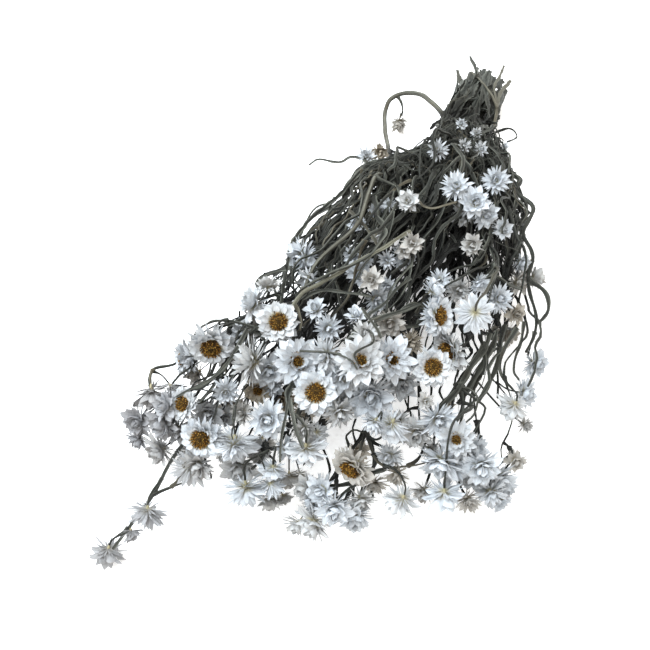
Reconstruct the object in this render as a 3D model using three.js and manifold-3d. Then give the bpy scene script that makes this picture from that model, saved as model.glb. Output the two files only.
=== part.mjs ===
// Dried winged everlasting: a cut bunch of winged stems with papery heads, lying on its side.
// Millimetres. +Y runs along the bunch to the cut ends, X across it, +Z up from the surface.
import * as THREE from "three";
import { mergeVertices } from "three/addons/utils/BufferGeometryUtils.js";
import Module from "manifold-3d";

// Sight of the picture: places in it are carried down sight lines to the height of the heap.
const EYE = new THREE.Vector3(69, -338, 344);
const EYE_TURN = THREE.MathUtils.degToRad(20);
const EYE_TILT = THREE.MathUtils.degToRad(49);
const EYE_FOCUS = 700;
const PICTURE_MIDDLE = 325;
const SIGHT_TOP = 150;
const SIGHT_STEPS = 30;
// Middle of the finished bunch on the surface, which is moved to the origin.
const MIDDLE = new THREE.Vector3(1.8, 4.5, 0);

// Heap of the bunch: place along Y, height of its ridge, middle in X, half of its width.
const HEAP = [
  [-270, 12, -10, 60],
  [-200, 42, -8, 96],
  [-165, 64, -6, 110],
  [-125, 84, -4, 108],
  [-75, 95, 4, 98],
  [-15, 96, 12, 90],
  [50, 84, 12, 78],
  [120, 60, 12, 48],
  [185, 47, 7, 28],
  [270, 45, 7, 27],
];
const HEAP_LOWEST = 4;

// Winged main stem: half of its width at the cut end and at the far end, and its flatness.
const MAIN_START = 3.8;
const MAIN_END = 1.7;
const MAIN_SIDES = 4;
const MAIN_FLATNESS = 0.55;
// Where a stem lies on the surface its middle stays this share of its half thickness above it.
const REST_SHARE = 0.5;
// Branches and stalks: half of their width at the root and at the end.
const BRANCH_START = 1.9;
const BRANCH_END = 1.2;
const STALK_START = 1.4;
const STALK_END = 0.9;
const THIN_SIDES = 3;
const THIN_FLATNESS = 0.8;
// Turn of a stem's broad side about its run at the root, and its twist from knot to knot.
const MAIN_ROLL = 1.6;
const THIN_ROLL = Math.PI;
const TWIST = 0.7;

// Neck of the bunch, where the stems run side by side.
const NECK_INNER_Y = 138;
const NECK_MIDDLE_X = 6;
const NECK_PACKING = 0.86;
const NECK_SPREAD = 1.1;

// Stalk of a head: how far back along its host it parts from it, and its straight end.
const STALK_BACK_LEAST = 30;
const STALK_BACK_RANGE = 45;
const STALK_FIRST_PART = 0.08;
const STALK_STRAIGHT = 9;
// Shares of a stalk's run at which its knots stand, and how early it swings out.
const STALK_SHARES = [0, 0.17, 0.56, 1];
const STALK_SWING = 0.75;
// Roots of stalks along one host keep this far apart, and stay this far from its end.
const ROOT_SPACING = 7;
const ROOT_SINK = 3;

// Sideways wander of a branch's knots, and the longest step between a main stem's knots.
const WANDER = 6.5;
const STEP_MOST = 34;

// Long side shoots that run beside a main stem.
const SHOOTS = 3;
const SHOOT_STEPS = 6;
const SHOOT_START = 1.7;
const SHOOT_END = 0.8;
// Shares of the main stem's length at which a shoot parts from it and ends beside it.
const SHOOT_ROOT = 0.16;
const SHOOT_ROOT_STEP = 0.14;
const SHOOT_ROOT_RANGE = 0.12;
const SHOOT_REACH = 0.75;
const SHOOT_REACH_RANGE = 0.2;
// How far a shoot swings aside, the share of that for the one on the outer side, and the share
// of its run at which its first free knot stands.
const SHOOT_SWING = 19;
const SHOOT_SWING_LEAST = 0.5;
const SHOOT_SWING_RANGE = 0.8;
const SHOOT_OUTWARD = -0.4;
const SHOOT_FIRST = 0.07;
const SHOOT_RISE = 0.3;

// Head, in shares of its width: base below the bracts, two rings of bracts and the disc.
const TIPS_LEAST = 5;
const TIPS_MOST = 8;
const SMALL_HEAD = 16;
const WIDTH_PER_TIP = 2.9;
const HEAD_BASE = 0.16;
const OUTER_ROOT = 0.04;
const OUTER_LENGTH = 0.46;
const INNER_ROOT = 0.05;
const INNER_LENGTH = 0.36;
const INNER_RISE = 0.04;
const NOTCH = 0.7;
const TIP_VARIATION = 0.16;
// The same for a closed and a wide open head: lean of the bracts in degrees, radius and height
// of the valley between their rings and of the disc's rim, and height of the disc's crown.
const OUTER_LEAN = [28, 90];
const INNER_LEAN = [16, 64];
const VALLEY_RADIUS = [0.1, 0.26];
const VALLEY_HEIGHT = [0.16, 0.06];
const RIM_RADIUS = [0.06, 0.21];
const RIM_HEIGHT = [0.2, 0.1];
const CROWN_HEIGHT = [0.25, 0.17];

// Slab under the surface.
const SLAB_WIDTH = 600;
const SLAB_LENGTH = 800;
const SLAB_DEPTH = 40;

// Clearing of neighbours: rounds, gaps, how far apart two pieces can matter, how gently a knot
// follows its pushes, and a head's room and middle in shares of its width.
const CLEAR_ROUNDS = 60;
const CLEAR_GAP = 1;
const FLOOR_GAP = 0.6;
const CLEAR_REACH = 60;
const CLEAR_EASE = 0.55;
const HEAD_CLEAR_RADIUS = 0.54;
const HEAD_CLEAR_HEIGHT = 0.34;
const HEAD_MIDDLE = 0.1;
const HEAD_YIELD = 0.4;

const PAPER_COLOUR = 0xe4e6e6;
const PAPER_ROUGHNESS = 0.8;

// Sprays. slot: X and Z in the neck and Y of the cut end. main and branches: picture place,
// share of the heap's height and lift over it. heads: picture place, share of the heap's height,
// width, direction of its face (right, down, towards the eye) and openness.
const SPRAYS = [
  {
    name: "spray_lower_left",
    slot: [-9, 6, 246],
    rest: [-222, -195],
    sparse: 0.12,
    bare: 0.3,
    main: [
      [428, 165, 0.4],
      [385, 225, 0.32],
      [330, 285, 0.3],
      [270, 350, 0.3],
      [222, 402, 0.36],
      [190, 438, 0.7],
      [170, 460, 0.9],
      [154, 494, 1],
      [137, 520, 1],
      [112, 550, 1],
    ],
    branches: [
      [
        [153, 496, 1],
        [168, 489, 1],
        [186, 480, 1],
      ],
    ],
    heads: [
      [107, 561, 1, 18, -0.2, 0.85, -0.4, 0.9],
      [130, 537, 1.2, 7, 0.4, 0.6, 0.5, 0.2],
      [147, 516, 1.3, 19, 0.1, 0.6, -0.6, 0.9],
      [190, 467, 1, 18, 0.1, 0.75, -0.5, 0.9],
      [188, 452, 0.6, 15, 0, 0.7, 0.5, 0.6],
      [162, 452, 0.8, 18, -0.9, 0.25, 0.2, 0.6],
    ],
  },
  {
    name: "spray_left",
    slot: [-14, 15, 236],
    main: [
      [425, 160, 0.7],
      [392, 190, 0.72],
      [345, 232, 0.7],
      [302, 276, 0.66],
      [268, 315, 0.7],
      [240, 345, 0.85],
      [222, 365, 0.9],
      [203, 386, 0.85],
      [183, 408, 0.75],
      [172, 424, 0.65],
    ],
    branches: [
      [
        [462, 92, 0, 22],
        [459, 80, 0, 24],
        [459, 71, 0, 25],
      ],
      [
        [230, 376, 0.9],
        [205, 386, 0.95],
        [185, 393, 0.95],
        [170, 399, 1],
        [156, 409, 1],
      ],
    ],
    heads: [
      [150, 440, 0.6, 16, -0.6, 0.5, 0.4, 0.6],
      [208, 412, 0.75, 16, 0.1, 0.3, 0.8, 0.6],
      [137, 419, 1, 17, -0.8, 0.4, 0.4, 0.8],
      [166, 421, 1, 18, -0.6, 0.4, 0.6, 0.8],
      [184, 404, 1.15, 18, -0.4, -0.1, 0.9, 1],
      [202, 438, 1.1, 22, 0, 0.1, 1, 1],
      [219, 441, 0.75, 10, 0.2, 0.3, 0.9, 0.15],
    ],
  },
  {
    name: "spray_upper_left",
    slot: [-9, 24, 232],
    edge: true,
    main: [
      [426, 150, 1],
      [407, 157, 1],
      [372, 161, 1],
      [353, 180, 1],
      [341, 200, 1],
      [312, 218, 1],
      [299, 233, 1],
      [291, 256, 1],
      [286, 282, 1],
      [262, 316, 1],
      [236, 325, 1],
      [208, 334, 0.9],
      [190, 345, 0.85],
    ],
    branches: [
      [
        [190, 345, 0.85],
        [174, 354, 0.9],
        [166, 366, 1],
        [155, 368, 1],
        [150, 377, 1.1],
        [152, 388, 1.1],
      ],
      [
        [257, 322, 1],
        [245, 340, 0.95],
        [234, 362, 0.9],
        [229, 378, 0.85],
      ],
      [
        [291, 272, 1],
        [272, 274, 1],
        [260, 281, 1],
        [258, 292, 1],
      ],
      [
        [372, 161, 1],
        [354, 158, 0, 68],
        [336, 162, 0, 64],
        [319, 160, 0, 60],
        [309, 165, 0, 56],
      ],
    ],
    heads: [
      [228, 354, 0.65, 15, -0.2, 0.3, 0.8, 0.6],
      [186, 358, 0.9, 18, -0.8, 0.1, 0.5, 0.8],
      [212, 343, 1.05, 21, -0.1, 0.4, 0.9, 1],
      [245, 333, 0.8, 16, -0.4, 0.2, 0.8, 0.7],
      [154, 397, 1.1, 18, 0.1, 0.85, 0.3, 0.75],
      [226, 388, 0.95, 17, 0, 0.3, 0.9, 0.9],
      [243, 413, 0.8, 15, -0.3, -0.1, 0.9, 0.7],
      [255, 304, 1, 17, -0.7, -0.4, 0.5, 0.9],
    ],
  },
  {
    name: "spray_big_loop",
    slot: [-4, 33, 226],
    bare: 0.5,
    main: [
      [443, 112, 0, 33],
      [428, 101, 0, 30],
      [410, 94, 0, 27],
      [397, 97, 0, 25],
      [388, 108, 0, 24],
      [386, 124, 0, 25],
      [386, 142, 0, 28],
      [389, 160, 0.85, 6],
      [378, 190, 1],
      [352, 228, 1],
      [322, 262, 1],
      [297, 295, 0.9],
      [288, 318, 0.7],
      [276, 345, 0.7],
    ],
    branches: [
      [
        [399, 97, 0, 25],
        [402, 106, 0, 27],
        [401, 116, 0, 26],
        [396, 123, 0, 25],
      ],
      [
        [312, 288, 1],
        [297, 303, 1],
        [293, 318, 1.05],
        [300, 330, 1.05],
      ],
    ],
    heads: [
      [403, 124, 0.4, 7, 0.8, 0.5, 0.2, 0.1],
      [278, 322, 1.1, 22, 0.15, 0, 1, 1],
      [252, 361, 1, 20, -0.6, -0.2, 0.2, 0.9],
      [268, 369, 0.9, 17, 0.1, 0.3, 0.8, 0.6],
      [295, 362, 1.05, 22, 0.2, 0, 1, 0.95],
      [316, 310, 0.95, 15, -0.3, -0.5, 0.8, 0.8],
      [328, 328, 1, 17, 0.1, 0.2, 0.95, 0.8],
    ],
  },
  {
    name: "spray_centre_left",
    slot: [-3.5, 15, 252],
    main: [
      [432, 180, 0.55],
      [390, 240, 0.5],
      [342, 300, 0.48],
      [304, 350, 0.52],
      [272, 392, 0.62],
      [263, 425, 0.72],
      [262, 448, 0.8],
    ],
    branches: [
      [
        [275, 440, 0.8],
        [264, 456, 0.85],
        [251, 476, 0.9],
      ],
    ],
    heads: [
      [218, 470, 0.6, 16, -0.3, 0.7, 0.4, 0.7],
      [258, 391, 0.75, 16, 0, 0.5, 0.8, 0.7],
      [268, 418, 1, 20, 0, 0.1, 1, 0.55],
      [235, 441, 1, 22, 0, 0.7, -0.2, 0.95],
      [240, 464, 0.65, 17, -0.4, 0.6, 0.5, 0.3],
      [248, 487, 1, 22, -0.1, 0.75, -0.4, 1],
      [273, 474, 1, 19, -0.1, 0.8, -0.4, 0.8],
      [270, 498, 0.5, 16, 0, 0.8, 0.3, 0.6],
    ],
  },
  {
    name: "spray_centre",
    slot: [7, 33, 244],
    main: [
      [446, 180, 0.8],
      [408, 240, 0.76],
      [358, 300, 0.72],
      [318, 345, 0.75],
      [300, 382, 0.85],
      [292, 410, 0.85],
      [289, 432, 0.8],
    ],
    branches: [
      [
        [298, 385, 0.95],
        [300, 402, 1],
        [294, 422, 1],
        [298, 437, 1],
        [304, 450, 1],
      ],
      [
        [290, 425, 0.8],
        [283, 445, 0.85],
        [281, 463, 0.85],
      ],
    ],
    heads: [
      [330, 428, 0.6, 15, 0.2, 0.5, 0.6, 0.7],
      [305, 458, 1.1, 22, 0, 0.6, -0.6, 1],
      [284, 447, 0.9, 11, 0.9, 0, 0.3, 0.9],
      [316, 392, 1.1, 22, -0.05, 0, 1, 1],
      [342, 403, 0.8, 18, 0, 0.6, 0.7, 0.8],
      [304, 428, 1.1, 8, 0.3, 0.4, 0.8, 0.5],
      [290, 482, 0.6, 15, 0, 0.8, 0.3, 0.6],
      [309, 488, 0.7, 17, -0.7, 0.2, 0.4, 0.8],
    ],
  },
  {
    name: "spray_tangle_left",
    slot: [2, 24, 250],
    main: [
      [434, 152, 0.9],
      [408, 176, 0.9],
      [370, 200, 1],
      [342, 228, 0.95],
      [330, 256, 0.9],
      [334, 284, 0.85],
      [343, 302, 0.8],
      [352, 318, 0.8],
    ],
    branches: [
      [
        [400, 214, 1.02],
        [380, 250, 1.05],
        [345, 270, 1.05],
        [320, 283, 1.05],
        [302, 298, 1],
      ],
      [
        [372, 186, 0.95],
        [340, 208, 0.8],
        [318, 222, 0.8],
        [306, 240, 0.9],
      ],
    ],
    heads: [
      [303, 258, 0.95, 14, -0.7, 0.1, 0.5, 0.7],
      [352, 255, 0.9, 11, -0.2, 0.3, 0.8, 0.5],
      [358, 226, 0.95, 11, -0.1, -0.2, 0.9, 0.6],
      [358, 273, 0.95, 13, 0.2, 0.2, 0.9, 0.6],
      [377, 213, 0.95, 11, 0.1, -0.3, 0.9, 0.6],
      [375, 299, 0.95, 14, 0.3, 0.2, 0.5, 0.6],
      [356, 317, 1, 16, 0, -0.6, 0.7, 0.6],
      [366, 340, 0.85, 15, 0.3, 0.2, 0.9, 0.7],
    ],
  },
  {
    name: "spray_crown",
    slot: [2, 41, 238],
    main: [
      [452, 168, 1],
      [430, 215, 1],
      [410, 262, 0.98],
      [384, 312, 0.98],
      [360, 326, 1],
      [348, 341, 0.95],
      [350, 362, 0.85],
      [366, 376, 0.8],
    ],
    branches: [
      [
        [380, 317, 0.95],
        [376, 334, 1],
        [370, 348, 1],
        [356, 358, 0.95],
      ],
      [
        [415, 250, 0.9],
        [398, 268, 1],
        [388, 280, 1],
      ],
    ],
    heads: [
      [336, 348, 0.8, 15, -0.2, 0.2, 0.9, 0.7],
      [345, 375, 1, 21, -0.1, 0.3, 0.9, 0.85],
      [361, 361, 1.15, 21, 0.1, -0.1, 1, 1],
      [370, 394, 0.95, 21, 0, 0.3, 0.9, 0.55],
      [391, 360, 1.05, 21, 0.1, 0.1, 1, 1],
      [399, 381, 0.9, 17, 0.3, 0.4, 0.8, 0.7],
      [387, 260, 0.95, 13, -0.2, 0.1, 0.9, 0.6],
      [386, 286, 0.95, 12, 0.1, 0.4, 0.8, 0.5],
      [372, 279, 1, 14, -0.2, 0.2, 0.9, 0.7],
      [390, 322, 1, 16, 0, 0.3, 0.8, 0.6],
    ],
  },
  {
    name: "spray_centre_right",
    slot: [13, 24, 240],
    main: [
      [468, 190, 0.8],
      [450, 240, 0.8],
      [432, 290, 0.8],
      [418, 325, 0.85],
      [414, 360, 0.75],
      [418, 390, 0.75],
      [416, 412, 0.75],
    ],
    branches: [
      [
        [430, 328, 0.9],
        [412, 323, 1],
        [400, 322, 1],
        [397, 334, 0.95],
      ],
    ],
    heads: [
      [452, 401, 0.65, 16, 0.2, 0.4, 0.8, 0.7],
      [410, 341, 1, 16, 0.2, 0.5, 0.7, 0.4],
      [432, 367, 1.05, 20, 0.1, 0, 1, 1],
      [425, 401, 0.95, 16, 0, 0.2, 0.9, 0.8],
      [417, 431, 0.85, 15, -0.2, 0.4, 0.8, 0.7],
      [437, 418, 0.95, 17, 0.1, 0.3, 0.9, 0.8],
      [405, 435, 0.75, 9, -0.3, 0.5, 0.7, 0.4],
    ],
  },
  {
    name: "spray_right_crown",
    slot: [13, 41, 228],
    main: [
      [484, 170, 0.95],
      [488, 215, 0.95],
      [484, 255, 0.98],
      [474, 282, 1],
      [462, 306, 0.9],
      [454, 332, 0.8],
    ],
    branches: [
      [
        [482, 262, 1],
        [492, 276, 1.05],
        [484, 290, 1.05],
      ],
    ],
    heads: [
      [436, 318, 1.05, 21, -0.5, 0, 0.85, 1],
      [457, 350, 1, 21, -0.7, 0.2, 0.65, 1],
      [476, 312, 1.12, 22, 0.1, 0.3, -0.8, 1],
      [458, 289, 0.95, 15, 0, 0.3, 0.8, 0.7],
      [478, 282, 1.05, 11, 0.2, 0.4, 0.7, 0.4],
      [440, 280, 0.95, 14, -0.2, 0.3, 0.9, 0.6],
      [472, 245, 1, 11, -0.1, 0.2, 0.9, 0.6],
      [497, 299, 1, 15, 0.3, 0, 0.9, 0.8],
    ],
  },
  {
    name: "spray_right_edge",
    slot: [28, 15, 247],
    edge: true,
    main: [
      [500, 150, 0.8],
      [511, 176, 0.9],
      [517, 195, 1],
      [534, 207, 1],
      [527, 224, 1],
      [521, 240, 1],
      [533, 257, 1],
      [529, 272, 1],
      [529, 292, 1],
      [535, 316, 1],
      [534, 336, 1],
      [526, 352, 1],
    ],
    branches: [
      [
        [533, 283, 1],
        [544, 291, 1],
        [549, 304, 1],
        [544, 316, 1],
        [536, 324, 1],
      ],
      [
        [497, 128, 0.9],
        [510, 129, 0.9],
        [517, 136, 0.9],
        [506, 143, 0.9],
      ],
    ],
    heads: [
      [534, 363, 1, 16, 0.5, 0.3, 0.8, 0.9],
      [541, 276, 1, 11, 0.8, -0.4, 0.3, 0.5],
      [514, 313, 0.8, 16, 0.3, 0.2, 0.8, 0.6],
      [504, 147, 0.9, 7, 0.3, -0.2, 0.8, 0.5],
    ],
  },
  {
    name: "spray_right_fan",
    slot: [24, 6, 258],
    rest: [-140, -112],
    main: [
      [503, 200, 0.55],
      [512, 250, 0.6],
      [520, 296, 0.7],
      [520, 325, 0.8],
      [508, 350, 0.9],
      [501, 370, 0.95],
      [507, 386, 0.95],
      [516, 404, 0.9],
      [517, 422, 0.6],
      [508, 433, 0.35],
      [503, 446, 0.15],
      [502, 458, 0.05],
    ],
    branches: [
      [
        [505, 444, 0.9],
        [512, 450, 1],
        [516, 458, 1],
      ],
    ],
    heads: [
      [524, 424, 0.8, 14, 0.5, 0.3, 0.5, 0.7],
      [515, 411, 1.1, 19, -0.3, 0.6, -0.3, 0.9],
      [523, 393, 1, 17, 0.5, 0.1, 0.5, 0.7],
      [512, 468, 1, 16, 0.3, 0.4, 0.8, 0.7],
      [497, 476, 0.95, 17, 0.1, 0.5, 0.7, 0.8],
      [506, 503, 1, 15, 0.4, 0.6, 0.4, 0.8],
    ],
  },
  {
    name: "spray_lower_centre",
    slot: [7.5, 15, 258],
    main: [
      [452, 190, 0.42],
      [428, 245, 0.42],
      [402, 305, 0.42],
      [384, 355, 0.48],
      [376, 398, 0.65],
      [369, 424, 0.8],
      [359, 442, 0.85],
    ],
    branches: [
      [
        [376, 405, 0.7],
        [392, 418, 0.9],
        [400, 440, 0.85],
        [400, 462, 0.85],
      ],
    ],
    heads: [
      [374, 482, 0.6, 16, 0, 0.6, 0.6, 0.7],
      [418, 456, 0.8, 15, 0.1, 0.5, 0.7, 0.7],
      [385, 431, 1.1, 21, -0.5, 0.6, -0.3, 0.95],
      [386, 457, 0.85, 17, -0.4, 0.3, 0.8, 0.8],
      [355, 466, 1.05, 22, -0.3, 0.6, 0.6, 1],
      [397, 473, 0.9, 15, -0.2, 0.6, 0.6, 0.6],
      [402, 500, 1.1, 19, -0.3, 0.7, -0.4, 0.95],
      [362, 497, 0.9, 17, 0, 0.6, 0.5, 0.7],
    ],
  },
  {
    name: "spray_lower_front",
    slot: [2, 6, 256],
    rest: [130, 270],
    main: [
      [448, 222, 0.26],
      [420, 285, 0.24],
      [390, 345, 0.24],
      [362, 400, 0.3],
      [345, 442, 0.5],
      [336, 476, 0.85],
      [333, 494, 0.9],
    ],
    branches: [
      [
        [340, 460, 0.7],
        [352, 482, 0.8],
        [356, 503, 0.9],
      ],
    ],
    heads: [
      [303, 508, 0.8, 14, -0.3, 0.6, 0.5, 0.7],
      [317, 523, 1, 19, -0.4, 0.6, 0.4, 0.85],
      [334, 507, 1.1, 16, 0, 0.5, 0.8, 0.7],
      [357, 519, 1, 16, 0, 0.7, 0.5, 0.7],
      [323, 489, 0.9, 15, -0.4, 0.2, 0.8, 0.6],
      [340, 436, 0.35, 17, 0.1, 0.5, 0.6, 0.8],
    ],
  },
  {
    name: "spray_lower_right",
    slot: [18.5, 15, 254],
    main: [
      [478, 200, 0.52],
      [476, 262, 0.55],
      [478, 318, 0.62],
      [479, 350, 0.75],
      [470, 376, 0.9],
      [455, 392, 0.9],
      [440, 408, 0.85],
      [436, 432, 0.75],
      [440, 446, 0.75],
    ],
    branches: [
      [
        [462, 388, 0.9],
        [472, 405, 0.9],
        [458, 421, 0.95],
        [449, 434, 0.9],
        [448, 450, 0.85],
      ],
    ],
    heads: [
      [441, 458, 1.05, 21, -0.1, 0.6, 0.5, 0.85],
      [443, 495, 1.05, 21, 0, 0.6, -0.4, 0.95],
      [464, 437, 1.1, 20, -0.5, 0.3, 0.7, 1],
      [468, 493, 0.9, 10, 0.2, 0.5, 0.7, 0.5],
      [423, 484, 0.6, 17, -0.3, 0.6, 0.4, 0.8],
    ],
  },
  {
    name: "spray_right_low",
    slot: [13, 6, 262],
    main: [
      [494, 215, 0.38],
      [496, 268, 0.42],
      [494, 318, 0.52],
      [490, 358, 0.72],
      [484, 386, 0.85],
      [489, 402, 0.9],
      [480, 421, 0.9],
      [481, 438, 0.85],
      [488, 450, 0.8],
    ],
    branches: [
      [
        [484, 330, 0.55],
        [478, 345, 0.8],
        [486, 362, 0.9],
        [481, 378, 0.85],
      ],
    ],
    heads: [
      [478, 448, 0.9, 16, 0, 0.3, 0.9, 0.7],
      [512, 486, 0.9, 15, 0.4, 0.5, 0.5, 0.7],
      [485, 466, 1.15, 19, 0, 0.4, 0.9, 0.8],
      [494, 497, 1.1, 18, 0.1, 0.6, 0.5, 0.8],
      [472, 470, 0.8, 17, -0.2, 0.5, 0.7, 0.7],
      [506, 340, 0.5, 17, 0.6, 0.3, 0.5, 0.7],
    ],
  },
  {
    name: "spray_back_centre",
    slot: [18, 33, 236],
    main: [
      [466, 152, 1],
      [457, 172, 1],
      [452, 195, 1],
      [442, 212, 0.9],
      [428, 226, 0.9],
      [418, 238, 0.9],
    ],
    branches: [
      [
        [450, 190, 1],
        [440, 203, 1],
        [426, 206, 1],
        [414, 202, 1],
      ],
      [
        [462, 165, 1],
        [470, 180, 1],
        [478, 196, 1],
      ],
    ],
    heads: [
      [438, 150, 1.1, 14, -0.3, 0.1, 0.9, 0.8],
      [461, 124, 1.1, 7, 0, 0, 1, 0.6],
      [456, 187, 1.1, 15, -0.2, -0.1, 0.9, 0.8],
      [474, 203, 1.1, 15, 0.1, 0, 1, 0.8],
      [484, 214, 1, 14, 0.3, 0.3, 0.9, 0.7],
      [464, 213, 0.95, 13, -0.2, 0.4, 0.8, 0.7],
      [408, 201, 1.05, 14, -0.1, 0, 1, 0.8],
      [412, 243, 1.05, 14, -0.1, 0.1, 1, 0.8],
      [404, 256, 0.9, 13, -0.3, 0.4, 0.8, 0.6],
    ],
  },
  {
    name: "spray_back_right",
    slot: [24, 24, 243],
    main: [
      [497, 165, 0.95],
      [505, 195, 0.9],
      [503, 235, 0.85],
      [502, 275, 0.85],
      [512, 298, 0.8],
    ],
    branches: [
      [
        [500, 97, 0, 27],
        [504, 87, 0, 26],
        [510, 81, 0, 25],
      ],
      [
        [500, 205, 0.9],
        [512, 218, 0.95],
        [519, 236, 0.95],
        [516, 252, 0.95],
      ],
    ],
    heads: [
      [495, 181, 1.1, 15, 0, 0, 1, 0.9],
      [502, 229, 1.05, 11, 0.2, 0.2, 0.9, 0.6],
      [516, 282, 0.8, 14, 0.7, 0.1, 0.5, 0.7],
      [520, 262, 0.9, 11, 0.5, 0.3, 0.7, 0.5],
    ],
  },
];

// A share from 0 to 1 that looks drawn at random and is the same each time.
function chance(seed) {
  const wave = Math.sin(seed * 12.9898) * 43758.5453;
  return wave - Math.floor(wave);
}

const eyeBack = new THREE.Vector3(
  Math.sin(EYE_TURN) * Math.cos(EYE_TILT),
  -Math.cos(EYE_TURN) * Math.cos(EYE_TILT),
  Math.sin(EYE_TILT),
);
const eyeRight = new THREE.Vector3(Math.cos(EYE_TURN), Math.sin(EYE_TURN), 0);
const eyeUp = new THREE.Vector3().crossVectors(eyeBack, eyeRight);

// Height of the top of the heap over a place on the surface.
function heapTop(x, y) {
  let row = 0;
  while (row < HEAP.length - 2 && y > HEAP[row + 1][0]) row += 1;
  const [near, far] = [HEAP[row], HEAP[row + 1]];
  const share = THREE.MathUtils.clamp((y - near[0]) / (far[0] - near[0]), 0, 1);
  const [ridge, middle, half] = [1, 2, 3].map((k) => near[k] + share * (far[k] - near[k]));
  const across = Math.min(1, Math.abs(x - middle) / half);
  return Math.max(HEAP_LOWEST, ridge * Math.sqrt(1 - across * across));
}

// Place where a sight line meets a share of the heap's height, raised by a lift.
function spot(u, v, share, lift = 0) {
  const line = eyeRight
    .clone()
    .multiplyScalar((u - PICTURE_MIDDLE) / EYE_FOCUS)
    .addScaledVector(eyeUp, -(v - PICTURE_MIDDLE) / EYE_FOCUS)
    .sub(eyeBack);
  const reach = (z) => EYE.clone().addScaledVector(line, (z - EYE.z) / line.z);
  let low = 0;
  let high = SIGHT_TOP;
  for (let step = 0; step < SIGHT_STEPS; step += 1) {
    const middle = (low + high) / 2;
    const place = reach(middle);
    if (middle > share * heapTop(place.x, place.y) + lift) high = middle;
    else low = middle;
  }
  return reach(low);
}

// Direction of a head's face from its parts to the right, down and towards the eye.
function facing(right, down, toward) {
  return eyeRight
    .clone()
    .multiplyScalar(right)
    .addScaledVector(eyeUp, -down)
    .addScaledVector(eyeBack, toward)
    .normalize();
}

// Point at a length along a row of knots.
function along(knots, length) {
  let left = length;
  for (let k = 1; k < knots.length; k += 1) {
    const step = knots[k].distanceTo(knots[k - 1]);
    if (left <= step || k === knots.length - 1)
      return knots[k - 1].clone().lerp(knots[k], THREE.MathUtils.clamp(left / step, 0, 1));
    left -= step;
  }
  return knots[0].clone();
}

// Length along a row of knots of the point nearest to a place, and its distance.
function nearest(knots, place) {
  let best = { distance: Infinity, length: 0 };
  let passed = 0;
  for (let k = 1; k < knots.length; k += 1) {
    const line = new THREE.Line3(knots[k - 1], knots[k]);
    const share = line.closestPointToPointParameter(place, true);
    const distance = line.at(share, new THREE.Vector3()).distanceTo(place);
    if (distance < best.distance) best = { distance, length: passed + share * line.distance() };
    passed += line.distance();
  }
  return best;
}

function lengthOf(knots) {
  return knots.slice(1).reduce((sum, knot, k) => sum + knot.distanceTo(knots[k]), 0);
}

// Tie that keeps the root of a strand on its host at a length along it.
function rootOn(host, length) {
  let left = Math.min(length, lengthOf(host.knots) - ROOT_SINK);
  let k = 1;
  let step = host.knots[1].distanceTo(host.knots[0]);
  while (left > step && k < host.knots.length - 1) {
    left -= step;
    k += 1;
    step = host.knots[k].distanceTo(host.knots[k - 1]);
  }
  const share = THREE.MathUtils.clamp(left / step, 0, 1);
  return { host, place: () => host.knots[k - 1].clone().lerp(host.knots[k], share) };
}

// Knots of a stem with a small sideways wander at each free knot.
function wander(knots, seed, size) {
  return knots.map((knot, k) => {
    if (k === 0 || k === knots.length - 1) return knot;
    const shift = [1, 2, 3].map((axis) => (chance(seed + k * 7 + axis) - 0.5) * size);
    return knot.clone().add(new THREE.Vector3(...shift));
  });
}

// Knots with one more in the middle of each long step.
function refine(knots) {
  return knots.flatMap((knot, k) => {
    if (k === 0 || knot.distanceTo(knots[k - 1]) < STEP_MOST) return [knot];
    return [knots[k - 1].clone().lerp(knot, 0.5), knot];
  });
}

// Main stem of a spray: side by side with the others through the neck, then its own way.
function mainStem(spray, number) {
  const [slotX, slotZ, cutY] = spray.slot;
  const across = (slotX - NECK_MIDDLE_X) * NECK_PACKING;
  const neck = [
    new THREE.Vector3(NECK_MIDDLE_X + across * NECK_SPREAD, cutY, slotZ),
    new THREE.Vector3(NECK_MIDDLE_X + across, (cutY + NECK_INNER_Y) / 2, slotZ),
    new THREE.Vector3(NECK_MIDDLE_X + across, NECK_INNER_Y, slotZ),
  ];
  const route = refine(spray.main.map((row) => spot(...row)));
  const knots = neck.concat(wander(route, number * 100, WANDER * 2));
  const [low, high] = spray.rest || [0, 0];
  const resting = knots.filter((knot) => knot.y > low && knot.y < high);
  return { spray: number, knots, resting, widths: [MAIN_START, MAIN_END], sides: MAIN_SIDES, taken: [] };
}

// Branch that leaves the main stem at its nearest point and follows its own places.
function branch(main, rows, number, turn) {
  const knots = rows.map((row) => spot(...row));
  const root = rootOn(main, nearest(main.knots, knots[0]).length);
  knots[0] = root.place();
  const held = wander(knots, number * 100 + 40 + turn * 9, WANDER / 2);
  const widths = [BRANCH_START, BRANCH_END];
  return { spray: number, knots: held, root, widths, sides: THIN_SIDES, taken: [] };
}

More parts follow.
